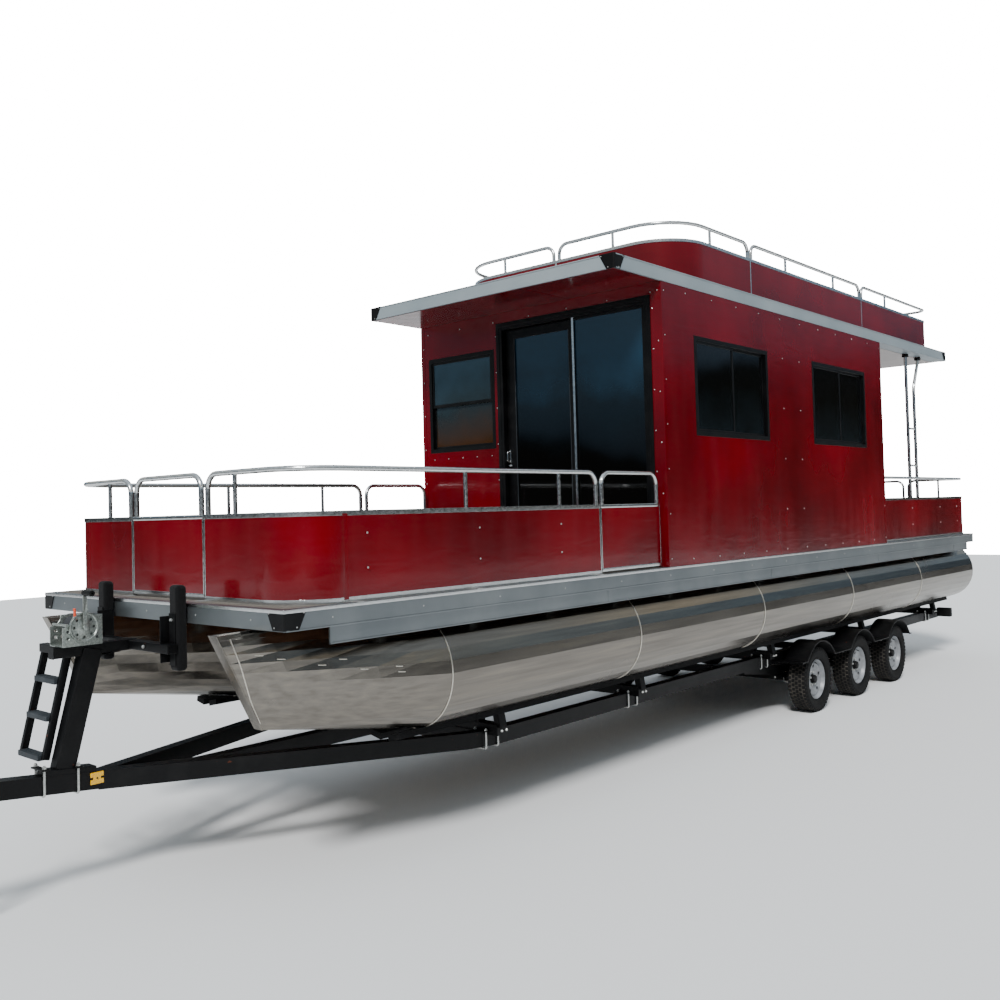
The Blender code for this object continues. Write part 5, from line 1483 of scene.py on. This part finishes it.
def addTrailerBolts():
    t = trailer
    x, half = t["railX"], t["railHalf"]
    low = t["railUp"] - 0.05
    clamps, plates = [], []
    for cross in t["crosses"]:
        for step in (-0.057, 0.057):
            clamps.append(addClamp(x, cross + step, half, low, t["railTop"] + 0.022, t["bolt"]))
            plates.append(addBox("plate", (x - 0.062, cross + step - 0.014, t["railTop"] + 0.0003), (x + 0.062, cross + step + 0.014, t["railTop"] + 0.007), 0.0015))
    bothSides(joined("portRailClamps", clamps), "bolt")
    bothSides(joined("portClampPlates", plates), "steel")
    clamps, plates = [], []
    for aft in wheel["axles"]:
        for step in (-0.052, 0.052):
            clamps.append(addClamp(x, aft + step, 0.028, wheel["up"] - 0.036, wheel["up"] + 0.082, 0.006))
        plates.append(addBox("plate", (x - 0.052, aft - 0.075, wheel["up"] + 0.058), (x + 0.052, aft + 0.075, wheel["up"] + 0.068), 0.002))
        for i in range(1, 4):
            long = 0.30 - 0.06 * i
            rise = 0.046 - 0.007 * i
            line = [at(x - 0.0225, aft - long, wheel["up"] + rise + 0.25 * long * long), at(x - 0.0225, aft, wheel["up"] + rise), at(x - 0.0225, aft + long, wheel["up"] + rise + 0.25 * long * long)]
            plates.append(addStrip("leaf", line, (0.045, 0, 0), 0.006, (0.12,), 8, 0.001))
    bothSides(joined("portSpringClamps", clamps), "bolt")
    bothSides(joined("portSpringLeaves", plates), "steel")
    # bolts through the bunk brackets and the spring hangers
    heads = []
    for cross in t["crosses"]:
        heads += [at(1.052, cross + step, -0.94) for step in (-0.022, 0.022)]
    for aft in wheel["axles"]:
        heads += [at(x + 0.0205, aft + step, -1.185) for step in (-0.35, 0.35)]
    bothSides(addStuds("portHangerBolts", heads, 0.010, 0.008, (1, 0, 0), 6), "bolt")
    # amber reflectors on the tongue's sides, in two halves round their screw
    lens = []
    for low, high in ((-0.958, -0.932), (-0.920, -0.894)):
        lens.append(addBox("lens", (t["tongueHalf"] + 0.0003, -0.368, low), (t["tongueHalf"] + 0.008, -0.294, high), 0.003))
    lens.append(addBox("lens", (t["tongueHalf"] + 0.0003, -0.352, -0.936), (t["tongueHalf"] + 0.007, -0.310, -0.916), 0.002))
    bothSides(joined("portReflector", lens), "amber")
    screw = addStuds("portReflectorScrew", [at(t["tongueHalf"] + 0.0075, -0.331, -0.926)], 0.005, 0.003, (1, 0, 0), 12)
    bothSides(screw, "steel")
    # tail lamps on brackets at the rails' ends
    housing = [
        addBox("lampBox", (0.965, 10.250, -1.035), (1.135, 10.320, -0.925), 0.010),
        addBox("lampArm", (x + half + 0.0003, 10.262, -1.000), (0.975, 10.292, -0.960), 0.003),
        addBox("endCap", (x - half - 0.002, 10.352, -1.057), (x + half + 0.002, 10.364, -0.953), 0.003),
    ]
    bothSides(joined("portTailLampHousing", housing), "plastic")
    lens = addBox("portTailLampLens", (0.975, 10.316, -1.027), (1.125, 10.332, -0.933), 0.006)
    bothSides(lens, "lampRed")


def addCoupler():
    t = trailer
    body = []
    for aft in (-0.614, -0.434):
        up = tongueUp(aft)
        clamp = addClamp(0, aft, t["tongueHalf"], up - t["tongueTall"], up + 0.105, t["bolt"])
        body.append(clamp)
    finishPiece(joined("standClamps", body), "bolt")
    plates = []
    for aft in (-0.614, -0.434):
        up = tongueUp(aft) + t["tongueTall"] + 0.030
        plates.append(addBox("plate", (-0.068, aft - 0.019, up + 0.0003), (0.068, aft + 0.019, up + 0.009), 0.002))
    finishPiece(joined("standClampPlates", plates), "steel")
    # ball latch on the coupler: a bent lever with its pin
    up = tongueUp(-1.72) + 0.055
    lever = [at(-0.016, -1.69, up + 0.006), at(-0.016, -1.62, up + 0.030), at(-0.016, -1.60, up + 0.034)]
    parts = [addStrip("lever", lever, (0.032, 0, 0), 0.005, (0.02,), 5, 0.0015)]
    parts.append(addBox("lug", (-0.020, -1.705, up), (-0.015, -1.655, up + 0.020), 0.002))
    parts.append(addBox("lug", (0.015, -1.705, up), (0.020, -1.655, up + 0.020), 0.002))
    parts.append(addTube("pin", [at(-0.030, -1.675, up + 0.011), at(0.030, -1.675, up + 0.011)], 0.005))
    finishPiece(joined("couplerLatch", parts), "zinc")
    heads = [at(side * 0.0575, aft, tongueUp(-1.6) + 0.012) for aft in (-1.655, -1.600) for side in (1,)]
    bothSides(addStuds("portCouplerBolts", heads, 0.011, 0.009, (1, 0, 0), 6), "bolt")
    addChain()


chain = {
    "x": 0.030,
    "start": -1.46,
    "end": -1.10,
    "links": 17,
    "sag": 0.14,
    "long": 0.013,
    "wide": 0.008,
    "bar": 0.0032,
}


def addChain():
    # safety chains hung in a loop under the tongue, every other link turned on edge
    c = chain
    links = []
    for i in range(c["links"]):
        share = i / (c["links"] - 1)
        aft = c["start"] + (c["end"] - c["start"]) * share
        up = tongueUp(aft) - trailer["tongueTall"] - 0.006 - c["sag"] * 4 * share * (1 - share)
        slope = -c["sag"] * 4 * (1 - 2 * share) / (c["end"] - c["start"])
        middle = at(c["x"], aft, up)
        deselect()
        bpy.ops.mesh.primitive_torus_add(major_radius=c["wide"], minor_radius=c["bar"], major_segments=12, minor_segments=5, location=middle)
        piece = takeName("link")
        piece.scale = (1, c["long"] / c["wide"] * 1.15, 1)
        roll = 0.0 if i % 2 else math.radians(90)
        piece.rotation_euler = (Matrix.Rotation(math.atan(slope), 3, "X") @ Matrix.Rotation(roll, 3, "Y")).to_euler()
        bpy.ops.object.transform_apply()
        links.append(piece)
    for aft in (c["start"], c["end"]):
        up = tongueUp(aft) - trailer["tongueTall"]
        links.append(addBox("tab", (c["x"] - 0.004, aft - 0.015, up - 0.012), (c["x"] + 0.004, aft + 0.015, up + 0.002), 0.002))
    bothSides(joined("portSafetyChain", links), "zinc")


jack = {
    "x": 0.085,
    "aft": -1.15,
    "ground": -1.535,
    "sleeve": 0.030,
    "ram": 0.0235,
    "low": -0.30,
    "high": 0.42,
    "crankUp": 0.40,
    "crankReach": 0.16,
}


def addJack():
    j = jack
    up = tongueUp(j["aft"])
    x, aft, ground = j["x"], j["aft"], j["ground"]
    parts = [
        addTube("sleeve", [at(x, aft, up + j["low"]), at(x, aft, up + j["high"] - 0.012)], j["sleeve"], rounds=8),
        addTube("ram", [at(x, aft, ground + 0.006), at(x, aft, up - 0.25)], j["ram"], rounds=8),
        addDisc("collar", at(x, aft, up + j["low"] + 0.010), 0.0335, 0.022, (0, 0, 1), 28, 0.002),
        addDisc("cap", at(x, aft, up + j["high"] - 0.010), 0.0335, 0.034, (0, 0, 1), 28, 0.006),
        addBox("foot", (x - 0.070, aft - 0.070, ground + 0.0002), (x + 0.070, aft + 0.070, ground + 0.008), 0.003),
        addDisc("boss", at(x, aft, ground + 0.014), 0.032, 0.016, (0, 0, 1), 24, 0.002),
        addBox("clamp", (trailer["tongueHalf"] + 0.0003, aft - 0.060, up - 0.060), (trailer["tongueHalf"] + 0.009, aft + 0.060, up + 0.060), 0.002),
        addBox("saddle", (trailer["tongueHalf"] + 0.004, aft - 0.022, up - 0.050), (x - 0.012, aft + 0.022, up + 0.050), 0.004),
    ]
    high = up + j["crankUp"]
    crank = [at(x + 0.02, aft, high), at(x + j["crankReach"], aft, high), at(x + j["crankReach"], aft, high - 0.10)]
    parts.append(addTube("crank", crank, 0.008, (0.018,)))
    piece = joined("tongueJackDetail", parts)
    finishPiece(piece, "zinc", "root", ["tongue_jack"])
    grip = addSpun("jackGrip", at(x + j["crankReach"], aft, high), ((0.0085, -0.088), (0.0115, -0.086), (0.0118, -0.070), (0.0105, -0.055), (0.0118, -0.040), (0.0112, -0.026), (0.0085, -0.024), (0.0085, -0.088)), 18, (0, 0, 1))
    finishPiece(grip, "plastic")
    heads = [at(trailer["tongueHalf"] + 0.012, aft + a, up + b) for a in (-0.045, 0.045) for b in (-0.045, 0.045)]
    finishPiece(addStuds("jackBolts", heads, 0.009, 0.008, (1, 0, 0), 6), "bolt")


addFenders()
addTrailerBolts()
addCoupler()
addJack()
print("trailer done")


# winch stand, its steps, the bow stops and the winch
stand = {
    "foot": -0.49,
    "head": (-0.33, -0.23),
    "wide": 0.080,
    "deep": 0.110,
    "barUp": -0.235,
    "barAft": (-0.545, -0.075),
    "barHalf": 0.030,
    "beamAft": (-0.130, -0.070),
    "beamHalf": 0.025,
    "padX": 0.40,
    "padHalf": 0.045,
    "padAft": (-0.0697, -0.006),
    "padUp": (-0.360, 0.100),
    "stepXs": (-0.060, -0.330),
    "stepLow": (-0.560, -0.800),
    "stepHigh": (-0.430, -0.250),
    "stepUps": (-0.400, -0.590, -0.790),
}


def addStand():
    s = stand
    half = s["wide"] / 2
    plate = [at(-trailer["tongueHalf"], s["foot"] + reach, tongueUp(s["foot"] + reach) + 0.063) for reach in (-0.12, 0.16)]
    post = [at(-half, s["foot"] - 0.005, tongueUp(s["foot"]) + 0.070), at(-half, s["head"][0] - 0.005, s["head"][1])]
    parts = [
        addStrip("foot", plate, (2 * trailer["tongueHalf"], 0, 0), 0.029, edge=0.003),
        addStrip("post", post, (s["wide"], 0, 0), s["deep"] * 0.98, edge=0.007),
        addBox("bar", (-s["barHalf"], s["barAft"][0], s["barUp"] - s["barHalf"]), (s["barHalf"], s["barAft"][1], s["barUp"] + s["barHalf"]), 0.005),
        addBox("beam", (-s["padX"] - s["padHalf"], s["beamAft"][0], s["barUp"] - s["beamHalf"]), (s["padX"] + s["padHalf"], s["beamAft"][1], s["barUp"] + s["beamHalf"]), 0.005),
        addBox("arm", (-0.345, -0.460, -0.262), (0.0, -0.410, -0.215), 0.004),
        addBox("barCap", (-0.032, -0.549, -0.267), (0.032, -0.5455, -0.203), 0.001),
    ]
    gusset = [at(-0.036, -0.372, -0.275), at(-0.036, -0.300, -0.275), at(-0.036, -0.180, -0.262)]
    parts.append(addStrip("gusset", gusset, (0.072, 0, 0), 0.008, (0.03,), 4, 0.001))
    for x in s["stepXs"]:
        line = [at(x - 0.015, *s["stepLow"]), at(x - 0.015, *s["stepHigh"])]
        parts.append(addStrip("stile", line, (0.030, 0, 0), 0.038, edge=0.004))
    for side in (-1, 1):
        # end plates that hold the bow stops
        x = side * s["padX"]
        inner = x - side * 0.055
        low, high = sorted((inner, x - side * 0.047))
        parts.append(addBox("ear", (low, -0.118, -0.315), (high, -0.022, -0.065), 0.003))
        parts.append(addBox("back", (x - 0.030, -0.0770, -0.330), (x + 0.030, -0.0702, -0.050), 0.002))
    finishPiece(joined("winchStandDetail", parts), "steel", "root", ["winch_stand"])
    treads = []
    slope = (s["stepHigh"][0] - s["stepLow"][0]) / (s["stepHigh"][1] - s["stepLow"][1])
    for up in s["stepUps"]:
        aft = s["stepLow"][0] + slope * (up - s["stepLow"][1])
        treads.append(addBox("tread", (s["stepXs"][1] + 0.012, aft - 0.036, up - 0.014), (s["stepXs"][0] - 0.012, aft + 0.026, up + 0.015), 0.003))
        ribs = [addBox("rib", (s["stepXs"][1] + 0.022, aft + y, up + 0.014), (s["stepXs"][0] - 0.022, aft + y + 0.008, up + 0.0175), 0.001) for y in (-0.030, -0.016, -0.002, 0.012)]
        treads += ribs
    finishPiece(joined("standSteps", treads), "step")
    heads = [at(side * s["padX"], -0.0805, up) for side in (-1, 1) for up in (-0.235, -0.085)]
    heads += [at(side * 0.20, -0.1335, s["barUp"]) for side in (-1, 1)]
    finishPiece(addStuds("stopBolts", heads, 0.0095, 0.008, (0, -1, 0), 6), "bolt")
    x = s["padX"]
    pad = addBox("portBowStopDetail", (x - s["padHalf"], s["padAft"][0], s["padUp"][0]), (x + s["padHalf"], s["padAft"][1], s["padUp"][1]))
    soften(pad, 0.022, 6)
    bothSides(pad, "carpet", ["bow_stop_port"])


winch = {
    "base": -0.2047,
    "half": 0.075,
    "aft": (-0.520, -0.300),
    "top": -0.045,
    "drum": (-0.410, -0.105),
    "reel": 0.078,
    "crank": 0.195,
}


def addWinch():
    w = winch
    out = Vector((1, 0, 0))
    axle = at(0, *w["drum"])
    parts = [addBox("base", (-w["half"], w["aft"][0], w["base"]), (w["half"], w["aft"][1], w["base"] + 0.007), 0.002)]
    for side in (-1, 1):
        near, far = sorted((side * w["half"], side * (w["half"] - 0.005)))
        cheek = addBox("cheek", (near, w["aft"][0], w["base"] + 0.003), (far, w["aft"][1], w["top"]))
        corners = addDisc("cutter", at(side * w["half"], w["aft"][0] + 0.004, w["top"]), 0.055, 0.05, out, 32)
        applyModifier(cheek, "BOOLEAN", operation="DIFFERENCE", object=corners, solver="EXACT")
        bpy.data.objects.remove(corners, do_unlink=True)
        spots = [(-0.490, -0.160), (-0.455, -0.160), (-0.490, -0.125), (-0.330, -0.165)]
        hole = repeatShape(addDisc("cutter", at(side * w["half"], *spots[0]), 0.008, 0.05, out, 20), at(side * w["half"], *spots[0]), [at(side * w["half"], *spot) for spot in spots[1:]])
        applyModifier(cheek, "BOOLEAN", operation="DIFFERENCE", object=hole, solver="EXACT")
        bpy.data.objects.remove(hole, do_unlink=True)
        soften(cheek, 0.0012, 1)
        parts.append(cheek)
    parts.append(addSpun("spool", axle, ((0.0200, -0.068), (0.066, -0.068), (0.066, -0.063), (0.024, -0.061), (0.024, 0.061), (0.066, 0.063), (0.066, 0.068), (0.0200, 0.068), (0.0200, -0.068)), 40))
    # the gear cover: a dished disc with a ring of round holes
    cover = addSpun("cover", axle, ((0.0005, 0.094), (0.030, 0.094), (0.040, 0.090), (0.068, 0.090), (0.073, 0.096), (0.078, 0.096), (0.078, 0.080), (0.074, 0.080), (0.066, 0.086), (0.038, 0.086), (0.028, 0.088), (0.0005, 0.088)), 48)
    cutter = addDisc("cutter", axle + Vector((0.088, 0, 0.054)), 0.0082, 0.04, out, 18)
    spinCopies(cutter, axle, 8)
    applyModifier(cover, "BOOLEAN", operation="DIFFERENCE", object=cutter, solver="EXACT")
    bpy.data.objects.remove(cutter, do_unlink=True)
    soften(cover, 0.001, 1)
    parts.append(cover)
    parts.append(addTube("axle", [axle + Vector((-0.088, 0, 0)), axle + Vector((0.118, 0, 0))], 0.010, rounds=5))
    parts.append(addTube("tie", [at(-0.084, -0.497, -0.090), at(0.084, -0.497, -0.090)], 0.007, rounds=4))
    parts.append(addTube("tie", [at(-0.084, -0.327, -0.180), at(0.084, -0.327, -0.180)], 0.007, rounds=4))
    arm = [axle + Vector((0.106, 0, -0.016)), axle + Vector((0.110, -0.002, 0.06)), axle + Vector((0.118, -0.008, w["crank"]))]
    parts.append(addStrip("crank", [spot - Vector((0, 0.011, 0)) for spot in arm], (0, 0.022, 0), 0.006, (0.03,), 5, 0.002))
    parts.append(addDisc("nut", axle + Vector((0.114, 0, 0)), 0.016, 0.012, out, 6, 0.002))
    finishPiece(joined("winchDetail", parts), "zinc", "root", ["winch"])
    strap = addSpun("winchStrap", axle, ((0.0245, -0.058), (0.050, -0.057), (0.0525, -0.030), (0.0518, 0.030), (0.050, 0.057), (0.0245, 0.058), (0.0245, -0.058)), 36)
    finishPiece(strap, "webbing")
    grip = axle + Vector((0.118, -0.008, w["crank"] - 0.012))
    handle = addSpun("winchGrip", grip, ((0.006, -0.012), (0.014, -0.010), (0.0165, 0.004), (0.0150, 0.040), (0.0165, 0.072), (0.0150, 0.086), (0.006, 0.088), (0.006, -0.012)), 24)
    finishPiece(handle, "plastic")
    lever = at(0.082, -0.452, -0.062)
    tip = addTube("winchRatchet", [lever, lever + Vector((0, -0.004, 0.028)), lever + Vector((0.002, -0.006, 0.060))], 0.007, (0.01,), 5)
    finishPiece(tip, "orange")


addStand()
addWinch()
print("winch stand done")


# round tubes between the stern deck and the roof, and the ladder up to it
post = {
    "x": 1.180,
    "fore": 8.880,
    "aft": 9.110,
    "lean": 0.170,
    "kinks": (1.770, 2.088),
    "radius": 0.019,
    "rungs": (0.420, 0.850, 1.280),
    "rung": 0.0125,
    "flange": 0.036,
    "plate": 0.008,
    "top": 2.1477,
}

ladder = {
    "x": -0.840,
    "half": 0.170,
    "foot": 10.235,
    "head": 9.995,
    "end": 9.715,
    "top": 2.706,
    "bend": 0.100,
    "radius": 0.016,
    "rungs": 8,
}


def addRoofPosts():
    p = post
    x, low, top = p["x"], 0.003, p["top"] - 0.003
    leaned = p["aft"] + p["lean"]
    parts = [
        addTube("post", [at(x, p["fore"], low), at(x, p["fore"], top)], p["radius"], rounds=6),
        addTube("post", [at(x, p["aft"], low), at(x, p["aft"], p["kinks"][0]), at(x, leaned, p["kinks"][1]), at(x, leaned, top)], p["radius"], (0.05, 0.022), 6, 8),
    ]
    for up in p["rungs"]:
        parts.append(addTube("rung", [at(x, p["fore"], up), at(x, p["aft"], up)], p["rung"], rounds=5))
    heads = []
    plate = p["top"] - p["plate"]
    for aft, up in ((p["fore"], 0.0003), (p["aft"], 0.0003), (p["fore"], plate), (leaned, plate)):
        parts.append(addBox("flange", (x - p["flange"], aft - p["flange"], up), (x + p["flange"], aft + p["flange"], up + p["plate"]), 0.002))
        if up < 1:
            heads += [at(x + a, aft + b, up + p["plate"] + 0.002) for a in (-0.026, 0.026) for b in (-0.026, 0.026)]
            parts.append(addDisc("weld", at(x, aft, up + p["plate"] + 0.002), p["radius"] + 0.005, 0.006, (0, 0, 1), 24, 0.003))
    bothSides(joined("portRoofPostDetail", parts), "rail", ["roof_post_port"])
    bothSides(addStuds("portPostBolts", heads, 0.0055, 0.005, (0, 0, 1), 6), "bolt")
    # black bracket under the roof that both tubes bolt into
    low = p["top"] - 0.040
    shoe = [
        addBox("shoe", (x - 0.030, p["fore"] - 0.028, low), (x + 0.030, p["fore"] + 0.028, plate - 0.0003), 0.004),
        addBox("shoe", (x - 0.030, leaned - 0.028, low), (x + 0.030, leaned + 0.028, plate - 0.0003), 0.004),
    ]
    bothSides(joined("portPostShoes", shoe), "frame")


def addRoofLadder():
    d = ladder
    parts = []
    for side in (-1, 1):
        x = d["x"] + side * d["half"]
        line = [at(x, d["foot"], 0.003), at(x, d["head"], d["top"]), at(x, d["end"], d["top"]), at(x, d["end"], roof["top"] + 0.0003)]
        parts.append(addTube("stile", line, d["radius"], (0.10, 0.10), 5, 8))
        parts.append(addBox("flange", (x - 0.036, d["foot"] - 0.036, 0.0003), (x + 0.036, d["foot"] + 0.036, 0.008), 0.002))
    for i in range(d["rungs"]):
        share = (i + 1) / (d["rungs"] + 2)
        aft = d["foot"] + (d["head"] - d["foot"]) * share
        ends = [at(d["x"] - d["half"], aft, d["top"] * share), at(d["x"] + d["half"], aft, d["top"] * share)]
        parts.append(addTube("rung", ends, 0.0125, rounds=5))
    finishPiece(joined("roofLadderDetail", parts), "rail", "root", ["roof_ladder"])
    treads = []
    for i in range(d["rungs"]):
        share = (i + 1) / (d["rungs"] + 2)
        aft = d["foot"] + (d["head"] - d["foot"]) * share
        treads.append(addBox("tread", (d["x"] - d["half"] + 0.03, aft - 0.016, d["top"] * share + 0.0115), (d["x"] + d["half"] - 0.03, aft + 0.016, d["top"] * share + 0.0155), 0.0015))
    finishPiece(joined("ladderTreads", treads), "plastic")


addRoofPosts()
addRoofLadder()
print("posts and ladder done")
